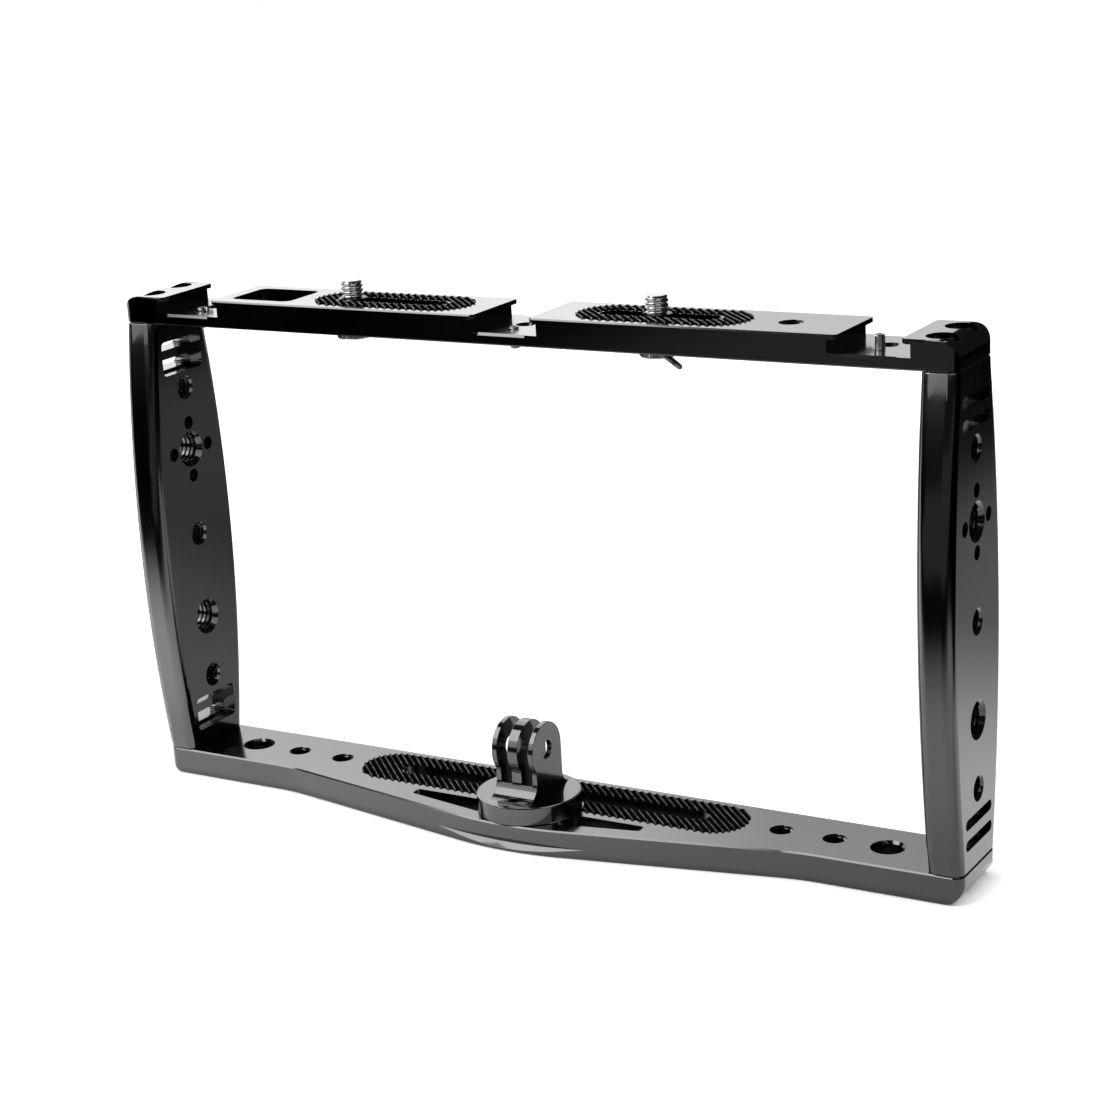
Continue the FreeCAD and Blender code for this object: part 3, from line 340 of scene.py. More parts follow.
def knurl(bm, centre, radius, low, high, depth):
    """Draws in every other line of points round a head, which leaves a straight knurl."""
    for vert in bm.verts:
        out = vert.co - centre
        if abs(math.hypot(out.x, out.y) - radius) < 0.01 * MM and low < vert.co.z < high:
            step = round(math.atan2(out.y, out.x) / math.tau * HEAD_STEPS)
            if step % 2:
                vert.co.x -= out.x / radius * depth
                vert.co.y -= out.y / radius * depth


# Materials

def add_node(tree, kind, sockets=None, **settings):
    """Adds a node with its settings, and gives each named input a value or a link."""
    node = tree.nodes.new(kind)
    for name, value in settings.items():
        setattr(node, name, value)
    for name, value in (sockets or {}).items():
        if isinstance(value, bpy.types.NodeSocket):
            tree.links.new(value, node.inputs[name])
        else:
            node.inputs[name].default_value = value
    return node


def new_material(name):
    """An empty material, its tree and the place on the object that its patterns follow."""
    material = bpy.data.materials.new(name)
    material.use_nodes = True
    tree = material.node_tree
    tree.nodes.clear()
    return material, tree, add_node(tree, "ShaderNodeTexCoord").outputs["Object"]


def product(tree, *factors):
    """Multiplies the values of several sockets."""
    result = factors[0]
    for factor in factors[1:]:
        result = add_node(tree, "ShaderNodeMath", {0: result, 1: factor},
                          operation="MULTIPLY").outputs["Value"]
    return result


def anodised_aluminium(finishes):
    """Milled plate, etched, dyed black and sealed. The clear oxide mirrors the room softly, the dyed metal
    under it is nearly black, and the etch leaves a very fine grain."""
    material, tree, place = new_material("black_anodised_aluminium")
    # The etched grain is about 0.1 mm. It is drawn at 0.3 mm, as fine as a picture of the whole frame shows.
    grain = add_node(tree, "ShaderNodeTexNoise", {"Vector": place, "Scale": 3300.0, "Detail": 2.0})
    # The dye takes a little unevenly, in clouds some 25 mm wide.
    cloud = add_node(tree, "ShaderNodeTexNoise", {"Vector": place, "Scale": 40.0, "Detail": 3.0})
    rough, tone = (add_node(tree, "ShaderNodeMapRange", {
        "Value": cloud.outputs["Fac"], "From Min": 0.3, "From Max": 0.7, "To Min": least,
        "To Max": most}).outputs["Result"] for least, most in ((0.17, 0.23), (0.88, 1.12)))
    colour = add_node(tree, "ShaderNodeVectorMath", {0: tuple(finishes.anodised), "Scale": tone},
                      operation="SCALE")
    bump = add_node(tree, "ShaderNodeBump", {"Height": grain.outputs["Fac"], "Strength": 0.12,
                                             "Distance": 0.01 * MM})
    shader = add_node(tree, "ShaderNodeBsdfPrincipled", {
        "Base Color": colour.outputs["Vector"], "Metallic": 1.0, "Roughness": rough,
        "Coat Weight": 1.0, "Coat IOR": 1.76, "Coat Roughness": 0.09, "Normal": bump.outputs["Normal"],
        "Coat Normal": bump.outputs["Normal"]})
    add_node(tree, "ShaderNodeOutputMaterial", {"Surface": shader.outputs["BSDF"]})
    return material


def pad_rubber(name, rubber, crest_highlight, bead_depth, pads):
    """Moulded rubber, almost black and matte. The sharp crests of the ribs carry a painted highlight in
    grey, and the cuts across the ribs break those grey lines into beads."""
    material, tree, place = new_material(name)

    def distance(direction, spacing):
        """How far a point lies from the nearest line of a row of lines square to the direction."""
        row = add_node(tree, "ShaderNodeVectorMath", {0: place, 1: direction}, operation="DOT_PRODUCT")
        return add_node(tree, "ShaderNodeMath", {0: row.outputs["Value"], 1: spacing / 2},
                        operation="PINGPONG").outputs["Value"]

    cos, sin = math.cos(pads.rib_angle), math.sin(pads.rib_angle)
    from_crest = distance((-sin, cos, 0.0), pads.rib_spacing)
    from_cut = distance((cos, sin, 0.0), pads.bead_spacing)
    line = add_node(tree, "ShaderNodeMapRange", {"Value": from_crest, "From Min": 0.08 * MM,
                                                 "From Max": 0.3 * MM, "To Min": 1.0, "To Max": 0.0})
    # Where the cuts are deep the painted highlight lies only in the middle of each bead.
    bead = add_node(tree, "ShaderNodeMapRange", {"Value": from_cut, "From Min": 0.04 * MM,
                                                 "From Max": 0.28 * MM,
                                                 "To Min": 0.0 if bead_depth > 0.1 * MM else 0.7})
    # The painted highlight is uneven over a few millimetres, and the mould's skin is about 0.2 mm.
    patch = add_node(tree, "ShaderNodeTexNoise", {"Vector": place, "Scale": 420.0, "Detail": 3.0})
    uneven = add_node(tree, "ShaderNodeMapRange", {"Value": patch.outputs["Fac"], "From Min": 0.35,
                                                   "From Max": 0.62, "To Min": 0.25})
    painted_highlight = product(tree, line.outputs["Result"], bead.outputs["Result"], uneven.outputs["Result"])
    colour = add_node(tree, "ShaderNodeMix", {"Factor": painted_highlight, "A": opaque(rubber),
                                              "B": opaque(crest_highlight)}, data_type="RGBA")
    skin = add_node(tree, "ShaderNodeTexNoise", {"Vector": place, "Scale": 5000.0, "Detail": 2.0})
    bump = add_node(tree, "ShaderNodeBump", {"Height": skin.outputs["Fac"], "Strength": 0.3,
                                             "Distance": 0.03 * MM})
    rough = add_node(tree, "ShaderNodeMapRange", {"Value": skin.outputs["Fac"], "To Min": 0.5,
                                                  "To Max": 0.7})
    shader = add_node(tree, "ShaderNodeBsdfPrincipled", {
        "Base Color": colour.outputs["Result"], "Roughness": rough.outputs["Result"], "IOR": 1.52,
        "Specular IOR Level": 0.0, "Normal": bump.outputs["Normal"]})
    add_node(tree, "ShaderNodeOutputMaterial", {"Surface": shader.outputs["BSDF"]})
    return material


def steel(name, colour, scale, detail, roughness, relief, relief_depth, stretch=None, coat=None):
    """A steel finish whose gloss and fine relief both follow one noise over the piece."""
    material, tree, place = new_material(name)
    if stretch:
        place = add_node(tree, "ShaderNodeMapping", {"Vector": place, "Scale": stretch}).outputs["Vector"]
    noise = add_node(tree, "ShaderNodeTexNoise", {"Vector": place, "Scale": scale, "Detail": detail})
    rough = add_node(tree, "ShaderNodeMapRange", {"Value": noise.outputs["Fac"], "To Min": roughness[0],
                                                  "To Max": roughness[1]})
    bump = add_node(tree, "ShaderNodeBump", {"Height": noise.outputs["Fac"], "Strength": relief,
                                             "Distance": relief_depth})
    shader = add_node(tree, "ShaderNodeBsdfPrincipled", {
        "Base Color": opaque(colour), "Metallic": 1.0, "Roughness": rough.outputs["Result"],
        "Normal": bump.outputs["Normal"], **(coat or {})})
    add_node(tree, "ShaderNodeOutputMaterial", {"Surface": shader.outputs["BSDF"]})
    return material


def zinc_plated_steel(finishes):
    """Turned steel with bright zinc on it. It is a light mirror with faint rings from the tool."""
    # The tool's feed leaves rings 0.08 mm apart, so the noise is squeezed along the axis.
    return steel("zinc_plated_steel", finishes.zinc, scale=1.0, detail=2.0, roughness=(0.12, 0.3),
                 relief=0.25, relief_depth=0.01 * MM, stretch=(300.0, 300.0, 12000.0))


def drawn_wire(finishes):
    """Nickel plated steel wire. The die leaves it smooth and darkish, with faint streaks."""
    # Streaks and plating freckles about 0.4 mm across.
    return steel("drawn_steel_wire", finishes.wire, scale=2500.0, detail=3.0, roughness=(0.16, 0.34),
                 relief=0.2, relief_depth=0.01 * MM)


def black_oxide_steel(finishes):
    """Socket head screws and clips of alloy steel, blackened in a hot bath and oiled. They look dark, with
    a soft oily sheen that is a little blotchy."""
    # Blotches of the oil film, about 1.5 mm across.
    return steel("black_oxide_steel", finishes.oxide, scale=700.0, detail=4.0, roughness=(0.24, 0.46),
                 relief=0.15, relief_depth=0.02 * MM, coat={"Coat Weight": 0.35, "Coat Roughness": 0.3})


def finish_nodes(names, material):
    """Gives CAD nodes a better material in their own slots."""
    for name in names:
        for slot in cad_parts[name].material_slots:
            slot.material = material


# Operators

class STABILIZER_OT_tapped_frame(Operator):
    """Anodise the bars and grips, tap their threads and mill the groove in the nose"""
    bl_idname = "stabilizer.tapped_frame"
    bl_label = "Tapped Frame"

    def execute(self, context):
        material = anodised_aluminium(context.scene.stabilizer_finishes)
        for node, taps in (("top_bar", TOP_BAR_TAPS), ("bottom_bar", BOTTOM_BAR_TAPS),
                           ("left_handle", GRIP_TAPS), ("right_handle", GRIP_TAPS)):
            low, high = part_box(node)
            middle = (low + high) / 2
            bm = bmesh.new()
            bm.from_mesh(bpy.data.objects[node].data)
            bmesh.ops.remove_doubles(bm, verts=bm.verts, dist=MERGE)
            if node == "bottom_bar":
                self.shape_groove(bm)
            threads = bmesh.new()
            for place, thread in taps:
                if taps is GRIP_TAPS:
                    self.tap(threads, Matrix.Rotation(math.pi / 2, 4, "Y"), (middle.x, TAP_Y, place * MM),
                             high.x - low.x, thread)
                else:
                    self.tap(threads, Matrix(), (place * MM, TAP_Y, middle.z), high.z - low.z, thread)
            piece = new_piece("machined_" + node, bm, material)
            cut_piece(piece, new_piece("taps", threads, material))
            shade_flats(piece, 0 if taps is GRIP_TAPS else 2)
            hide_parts(node)
            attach(piece, "frame")
        return {"FINISHED"}

    @staticmethod
    def tap(bm, turned, middle, length, thread):
        """A screw of the thread's full size that stands out 1 mm at both ends."""
        screw = bmesh.new()
        threaded_rod(screw, Vector((0.0, 0.0, 0.0)), -length / 2 - MM, length / 2 + MM, *thread, 32)
        bmesh.ops.transform(screw, matrix=Matrix.Translation(middle) @ turned, verts=screw.verts)
        pour(screw, bm)

    @staticmethod
    def shape_groove(bm):
        """Rebuilds the two walls of the nose's groove: the upper one looks down and the lower one up, and
        they meet a little way in."""
        inside = [face for face in bm.faces if in_groove(face) and abs(face.normal.z) > 0.3]
        walls = set(inside)
        rim = [edge for edge in bm.edges if sum(face in walls for face in edge.link_faces) == 1]
        upper = [edge for edge in rim
                 if max(vert.co.z for vert in edge.verts) > GROOVE_BOTTOM_Z + 0.01 * MM]
        lower = [edge for edge in rim if edge not in upper]
        bmesh.ops.delete(bm, geom=inside, context="FACES_ONLY")
        wire = [edge for edge in bm.edges if edge.is_wire]
        bmesh.ops.delete(bm, geom=wire, context="EDGES")
        wall = bmesh.ops.extrude_edge_only(bm, edges=upper)["geom"]
        moved = {item for item in wall if isinstance(item, bmesh.types.BMVert)}
        for vert in moved:
            reach = max(GROOVE_BOTTOM_Y - vert.co.y, 0.0)
            vert.co.y += GROOVE_BACK * reach
            vert.co.z = GROOVE_BOTTOM_Z - GROOVE_DROP * reach
        bottom = [item for item in wall
                  if isinstance(item, bmesh.types.BMEdge) and all(vert in moved for vert in item.verts)]
        bmesh.ops.bridge_loops(bm, edges=bottom + lower)
        bmesh.ops.remove_doubles(bm, verts=bm.verts, dist=MERGE)


class STABILIZER_OT_prong_mount(Operator):
    """Turn the mount's disc and mill its three prongs and flared foot"""
    bl_idname = "stabilizer.prong_mount"
    bl_label = "Prong Mount"

    def execute(self, context):
        material = bpy.data.materials["black_anodised_aluminium"]
        low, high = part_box("prong_mount")
        centre = Vector(((low.x + high.x) / 2, low.y + DISC_RADIUS, low.z))
        disc = bmesh.new()
        spin_solid(disc, [(0.0, 0.0), (DISC_RADIUS - 0.25 * MM, 0.0), (DISC_RADIUS, 0.25 * MM),
                          (DISC_RADIUS, DISC_HEIGHT - 0.35 * MM),
                          (DISC_RADIUS - 0.1 * MM, DISC_HEIGHT - 0.1 * MM),
                          (DISC_RADIUS - 0.35 * MM, DISC_HEIGHT), (0.0, DISC_HEIGHT)], centre, 160)
        mount = new_piece("milled_prong_mount", disc, material)
        prongs = new_piece("prongs", self.prongs(centre), material)
        for x in (-GAP_X, GAP_X):
            gap = block((PRONG_GAP, 40 * MM, 40 * MM), centre + Vector((x, 0.0, 29 * MM)))
            cut_piece(prongs, new_piece("gap", gap, material))
        bore = lying_bore(-10 * MM, 10 * MM, PRONG_BORE_RADIUS, 64,
                          centre + Vector((0.0, 0.0, PRONG_BORE_Z)))
        cut_piece(prongs, new_piece("bore", bore, material))
        self.break_edges(prongs, 0.14 * MM)
        cut_piece(mount, prongs, "UNION")
        screw_bore = prism(centre, low.z - MM, low.z + MOUNT_BORE_DEPTH, MOUNT_BORE_RADIUS, 48)
        cut_piece(mount, new_piece("screw_bore", screw_bore, material))
        shade_flats(mount, 0)
        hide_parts("prong_mount")
        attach(mount, "mount")
        return {"FINISHED"}

    @staticmethod
    def prongs(centre):
        """The side view of the prongs, drawn with spins and pushed out to the full width. The crown curls
        in to a neck at the front, and the foot flares out to the disc. Its points are in mm."""
        bm = bmesh.new()

        def curl(point, y, z, angle, steps):
            turned = bmesh.ops.spin(bm, geom=[point], cent=(0.0, y * MM, z * MM), axis=(1, 0, 0),
                                    angle=math.radians(angle), steps=steps)
            return next(item for item in turned["geom_last"] if isinstance(item, bmesh.types.BMVert))

        def straight(point, y, z):
            end = bm.verts.new((0.0, y * MM, z * MM))
            bm.edges.new((point, end))
            return end

        start = bm.verts.new((0.0, 8 * MM, 18.3 * MM))
        neck = straight(curl(start, 0.0, 18.3, 222, 96), -6.15, 12.4)
        toe = curl(straight(neck, -6.2, 10.4), -11.4, 10.4, -90, 20)
        heel = straight(straight(toe, -11.4, 4.8), 11.8, 4.8)
        back = curl(straight(heel, 11.8, 5.2), 11.8, 9.0, -90, 16)
        bm.edges.new((back, start))
        bmesh.ops.remove_doubles(bm, verts=bm.verts, dist=MERGE)
        face = bmesh.ops.contextual_create(bm, geom=bm.edges[:])["faces"][0]
        bmesh.ops.translate(bm, verts=bm.verts, vec=centre + Vector((-PRONGS_HALF_WIDTH, 0.0, 0.0)))
        push_out(bm, face, (2 * PRONGS_HALF_WIDTH, 0.0, 0.0))
        return bm

    @staticmethod
    def break_edges(piece, width):
        """Bevels every sharp edge a little, as a deburring tool does."""
        bm = bmesh.new()
        bm.from_mesh(piece.data)
        bmesh.ops.dissolve_limit(bm, angle_limit=math.radians(0.5), verts=bm.verts, edges=bm.edges)
        sharp = [edge for edge in bm.edges
                 if edge.is_manifold and edge.calc_face_angle() > math.radians(40)]
        bmesh.ops.bevel(bm, geom=sharp, offset=width, offset_type="OFFSET", segments=2, profile=0.5,
                        affect="EDGES", material=-1, clamp_overlap=True)
        bm.to_mesh(piece.data)
        bm.free()


class STABILIZER_OT_rubber_pads(Operator):
    """Mould the ribbed rubber pads round the three camera slots"""
    bl_idname = "stabilizer.rubber_pads"
    bl_label = "Rubber Pads"

    def execute(self, context):
        finishes, pads = context.scene.stabilizer_finishes, context.scene.stabilizer_pads
        # Besides their bead depth, the two rubbers are lit and shaded copies of one: the top one's crests
        # carry a lighter painted highlight.
        top_rubber = pad_rubber("moulded_rubber_top", finishes.rubber, finishes.top_crest_highlight,
                                pads.top_bead_depth, pads)
        bottom_rubber = pad_rubber("moulded_rubber_bottom", finishes.rubber, finishes.bottom_crest_highlight,
                                   pads.bottom_bead_depth, pads)
        for node, (slot_x, slot_length, slot_width) in PAD_SLOTS.items():
            low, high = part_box(node)
            rubber, bead_depth = top_rubber, pads.top_bead_depth
            if node == "bottom_pad":
                rubber, bead_depth = bottom_rubber, pads.bottom_bead_depth
            tool = self.outline(pads, low, high)
            middle = (low.y + high.y) / 2
            cut_piece(tool, self.slot(slot_x * MM, middle, slot_length * MM, slot_width * MM, low.z, high.z))
            if node == "bottom_pad":
                disc = prism((0.0, DISC_OPENING_Y), low.z - MM, high.z + MM, DISC_OPENING_RADIUS, 160)
                cut_piece(tool, new_piece("disc", disc, rubber))
            pad = self.relief(node, pads, bead_depth, low, high, rubber)
            cut_piece(pad, tool, "INTERSECT")
            pad.name = "ribbed_" + node
            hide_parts(node)
            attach(pad, "frame")
        return {"FINISHED"}

    @staticmethod
    def crest(pads, x, y):
        """How near a point is to the sharp crest of a rib, from 0 in a valley to 1."""
        across = x * math.sin(-pads.rib_angle) + y * math.cos(pads.rib_angle)
        return 1 - abs(math.sin(math.pi * across / pads.rib_spacing))

    def relief(self, name, pads, bead_depth, low, high, material):
        """A sheet wider than the pad whose upper side has the ribs, each cut across into beads."""
        width, depth = high.x - low.x, high.y - low.y
        columns, rows = round(width / pads.mesh_step), round(depth / pads.mesh_step)
        sheet = bmesh.new()
        bmesh.ops.create_grid(sheet, x_segments=columns, y_segments=rows, size=0.5)
        bmesh.ops.scale(sheet, verts=sheet.verts, vec=(width + MM, depth + MM, 1.0))
        bmesh.ops.translate(sheet, verts=sheet.verts,
                            vec=((low.x + high.x) / 2, (low.y + high.y) / 2, high.z))
        for vert in sheet.verts:
            crest = self.crest(pads, vert.co.x, vert.co.y)
            along = vert.co.x * math.cos(pads.rib_angle) + vert.co.y * math.sin(pads.rib_angle)
            bead = abs(math.sin(math.pi * along / pads.bead_spacing))
            vert.co.z -= pads.rib_depth * (1 - crest) + bead_depth * crest * (1 - bead)
        rim = [edge for edge in sheet.edges if edge.is_boundary]
        skirt = bmesh.ops.extrude_edge_only(sheet, edges=rim)
        for item in skirt["geom"]:
            if isinstance(item, bmesh.types.BMVert):
                item.co.z = low.z - MM
        bmesh.ops.holes_fill(sheet, edges=[edge for edge in sheet.edges if edge.is_boundary], sides=0)
        return new_piece(name, sheet, material)

    def outline(self, pads, low, high):
        """The pad's plan as a tool: a round-ended outline that draws in between the ribs."""
        radius, reach = (high.y - low.y) / 2, (high.x - low.x) / 2
        straight, middle = reach - radius, (low + high) / 2
        shape = bmesh.new()
        bmesh.ops.create_circle(shape, segments=240, radius=radius)
        for vert in shape.verts:
            vert.co.x += straight if vert.co.x > 0.001 * MM else -straight
        sides = [edge for edge in shape.edges if edge.calc_length() > straight]
        bmesh.ops.subdivide_edges(shape, edges=sides, cuts=round(straight * 2 / pads.mesh_step))
        for vert in shape.verts:
            spine = Vector((max(-straight, min(straight, vert.co.x)), 0.0, 0.0))
            out = (vert.co - spine).normalized()
            crest = self.crest(pads, vert.co.x + middle.x, vert.co.y + middle.y)
            vert.co -= out * pads.rim_scallop * (1 - crest)
        bmesh.ops.translate(shape, verts=shape.verts, vec=(middle.x, middle.y, low.z))
        face = bmesh.ops.contextual_create(shape, geom=shape.edges[:])["faces"][0]
        push_out(shape, face, (0, 0, high.z - low.z + MM))
        return new_piece("outline", shape, bpy.data.materials["moulded_rubber_top"])

    @staticmethod
    def slot(x, y, length, width, low, high):
        """A round-ended slot as a tool."""
        shape = prism((0.0, 0.0), low - MM, high + MM, width / 2, 64)
        for vert in shape.verts:
            vert.co.x += (length - width) / 2 * (1 if vert.co.x > 0.001 * MM else -1)
        bmesh.ops.translate(shape, verts=shape.verts, vec=(x, y, 0.0))
        return new_piece("slot", shape, bpy.data.materials["moulded_rubber_top"])


class STABILIZER_OT_camera_screws(Operator):
    """Turn and thread the two captive camera screws, and finish their clips and folding rings"""
    bl_idname = "stabilizer.camera_screws"
    bl_label = "Camera Screws"

    def execute(self, context):
        scene = context.scene
        threads = scene.stabilizer_threads
        zinc = zinc_plated_steel(scene.stabilizer_finishes)
        finish_nodes(("screw_clip_left", "screw_clip_right"), black_oxide_steel(scene.stabilizer_finishes))
        finish_nodes(("screw_ring_left", "screw_ring_right"), drawn_wire(scene.stabilizer_finishes))
        for side, turn in (("left", 0.0), ("right", math.radians(-50))):
            low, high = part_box("camera_screw_" + side)
            centre = foot_of(low, high)
            head, neck, core = 5.25 * MM, 3.0 * MM, 2.4 * MM
            head_top, neck_top, top = 2.8 * MM, 10.85 * MM, high.z - low.z
            blank = bmesh.new()
            spin_solid(blank, [(0.0, 0.0), (head - 0.35 * MM, 0.0), (head, 0.35 * MM),
                               (head, head_top - 0.3 * MM), (head - 0.3 * MM, head_top), (neck, head_top),
                               (neck, neck_top), (core, neck_top), (core, neck_top + 0.95 * MM),
                               (0.0, neck_top + 0.95 * MM)], centre, HEAD_STEPS)
            knurl(blank, centre, head, low.z, high.z, 0.16 * MM)
            screw = new_piece("threaded_camera_screw_" + side, blank, zinc)
            coin_slot = block((1.2 * MM, 12 * MM, 1.0 * MM), (0.0, 0.0, 0.0))
            cut_piece(screw, self.placed(coin_slot, centre, turn))
            for way in (-1, 1):
                ring_hole = lying_bore(3.45 * MM, 6.0 * MM, 0.8 * MM, 24, (0.0, 0.0, head_top / 2), way)
                cut_piece(screw, self.placed(ring_hole, centre, turn))
            whole = bmesh.new()
            whole.from_mesh(screw.data)
            threaded_rod(whole, centre, neck_top + 0.7 * MM, top, QUARTER_INCH[0], threads.camera_pitch,
                         threads.turn_steps + 12, tip=0.6 * MM, foot=0.35 * MM, rolled=True)
            whole.to_mesh(screw.data)
            whole.free()
            smooth(screw.data)
            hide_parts("camera_screw_" + side)
            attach(screw, "screw_" + side)
        return {"FINISHED"}

    @staticmethod
    def placed(bm, centre, turn):
        """A tool turned with the screw and moved to it."""
        bmesh.ops.rotate(bm, verts=bm.verts, matrix=Matrix.Rotation(turn, 3, "Z"))
        bmesh.ops.translate(bm, verts=bm.verts, vec=centre)
        return new_piece("tool", bm, bpy.data.materials["zinc_plated_steel"])


class STABILIZER_OT_set_screws(Operator):
    """Thread the three set screws of the shoes and cut their sockets"""
    bl_idname = "stabilizer.set_screws"
    bl_label = "Set Screws"

    def execute(self, context):
        threads = context.scene.stabilizer_threads
        zinc = bpy.data.materials["zinc_plated_steel"]
        for side in ("left", "middle", "right"):
            low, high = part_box("shoe_screw_" + side)
            centre = foot_of(low, high)
            rod = bmesh.new()
            threaded_rod(rod, centre, 0.0, high.z - low.z, 1.5 * MM, threads.set_screw_pitch, 24,
                         tip=0.3 * MM, foot=0.45 * MM)
            screw = new_piece("threaded_set_screw_" + side, rod, zinc)
            socket = prism(centre, high.z - 2 * MM, high.z + MM, 1.5 * MM / math.sqrt(3), 6)
            cut_piece(screw, new_piece("socket", socket, zinc))
            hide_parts("shoe_screw_" + side)
            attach(screw, "set_screw_" + side)
        return {"FINISHED"}


class STABILIZER_OT_cap_screws(Operator):
    """Knurl and thread the socket head screws of the grips and of the mount"""
    bl_idname = "stabilizer.cap_screws"
    bl_label = "Cap Screws"

    def execute(self, context):
        threads = context.scene.stabilizer_threads
        oxide = bpy.data.materials["black_oxide_steel"]
        for node in ("top_left_bolts", "top_right_bolts", "bottom_left_bolts", "bottom_right_bolts"):
            low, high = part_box(node)
            x = (low.x + high.x) / 2
            places = [Vector((x, low.y + 3.5 * MM, 0.0)), Vector((x, high.y - 3.5 * MM, 0.0))]
            # The heads are the low kind and lie well below the face, in dark seats.
            head_up, sunk = node.startswith("top"), 1.7 * MM
            foot, top = (low.z, high.z - sunk) if head_up else (low.z + sunk, high.z)
            self.make(node, places, foot, top, oxide, head_up, head=3.5 * MM, head_height=4 * MM - sunk,
                      shank=2 * MM, socket=3 * MM, socket_depth=1.4 * MM, pitch=threads.bolt_pitch)
        low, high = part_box("mount_screw")
        self.make("mount_screw", [Vector((0.0, (low.y + high.y) / 2, 0.0))], low.z, high.z, oxide, False,
                  head=5 * MM, head_height=4 * MM, shank=3 * MM, socket=4 * MM, socket_depth=2.2 * MM,
                  pitch=threads.mount_pitch)
        return {"FINISHED"}

    @staticmethod
    def make(node, places, low, high, material, head_up, head, head_height, shank, socket, socket_depth,
             pitch):
        """Socket head screws that stand at the given places. Head and shank are radii."""
        whole = bmesh.new()
        for place in places:
            blank = bmesh.new()
            root, length = shank - 0.62 * pitch, high - low - head_height
            origin = Vector((0.0, 0.0, 0.0))
            spin_solid(blank, [(0.0, head_height), (head - 0.5 * MM, head_height),
                               (head, head_height - 0.35 * MM), (head, 0.15 * MM), (head - 0.15 * MM, 0.0),
                               (shank, 0.0), (shank, -0.6 * pitch), (root, -1.2 * pitch),
                               (0.0, -1.2 * pitch)], origin, HEAD_STEPS)
            knurl(blank, origin, head, -MM, head_height, 0.09 * MM)
            screw = new_piece("screw", blank, material)
            bore = prism(origin, head_height - socket_depth, head_height + MM, socket / math.sqrt(3), 6)
            cut_piece(screw, new_piece("socket", bore, material))
            one = bmesh.new()
            one.from_mesh(screw.data)
            threaded_rod(one, origin, -length, -pitch, shank, pitch, 24, tip=0.3 * MM, foot=0.5 * MM)
            if not head_up:
                bmesh.ops.rotate(one, verts=one.verts, matrix=Matrix.Rotation(math.pi, 3, "X"))
            seat = high - head_height if head_up else low + head_height
            bmesh.ops.translate(one, verts=one.verts, vec=place + Vector((0.0, 0.0, seat)))
            one.to_mesh(screw.data)
            one.free()
            whole.from_mesh(screw.data)
            bpy.data.meshes.remove(screw.data)
        piece = new_piece("knurled_" + node, whole, material)
        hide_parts(node)
        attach(piece, "frame")


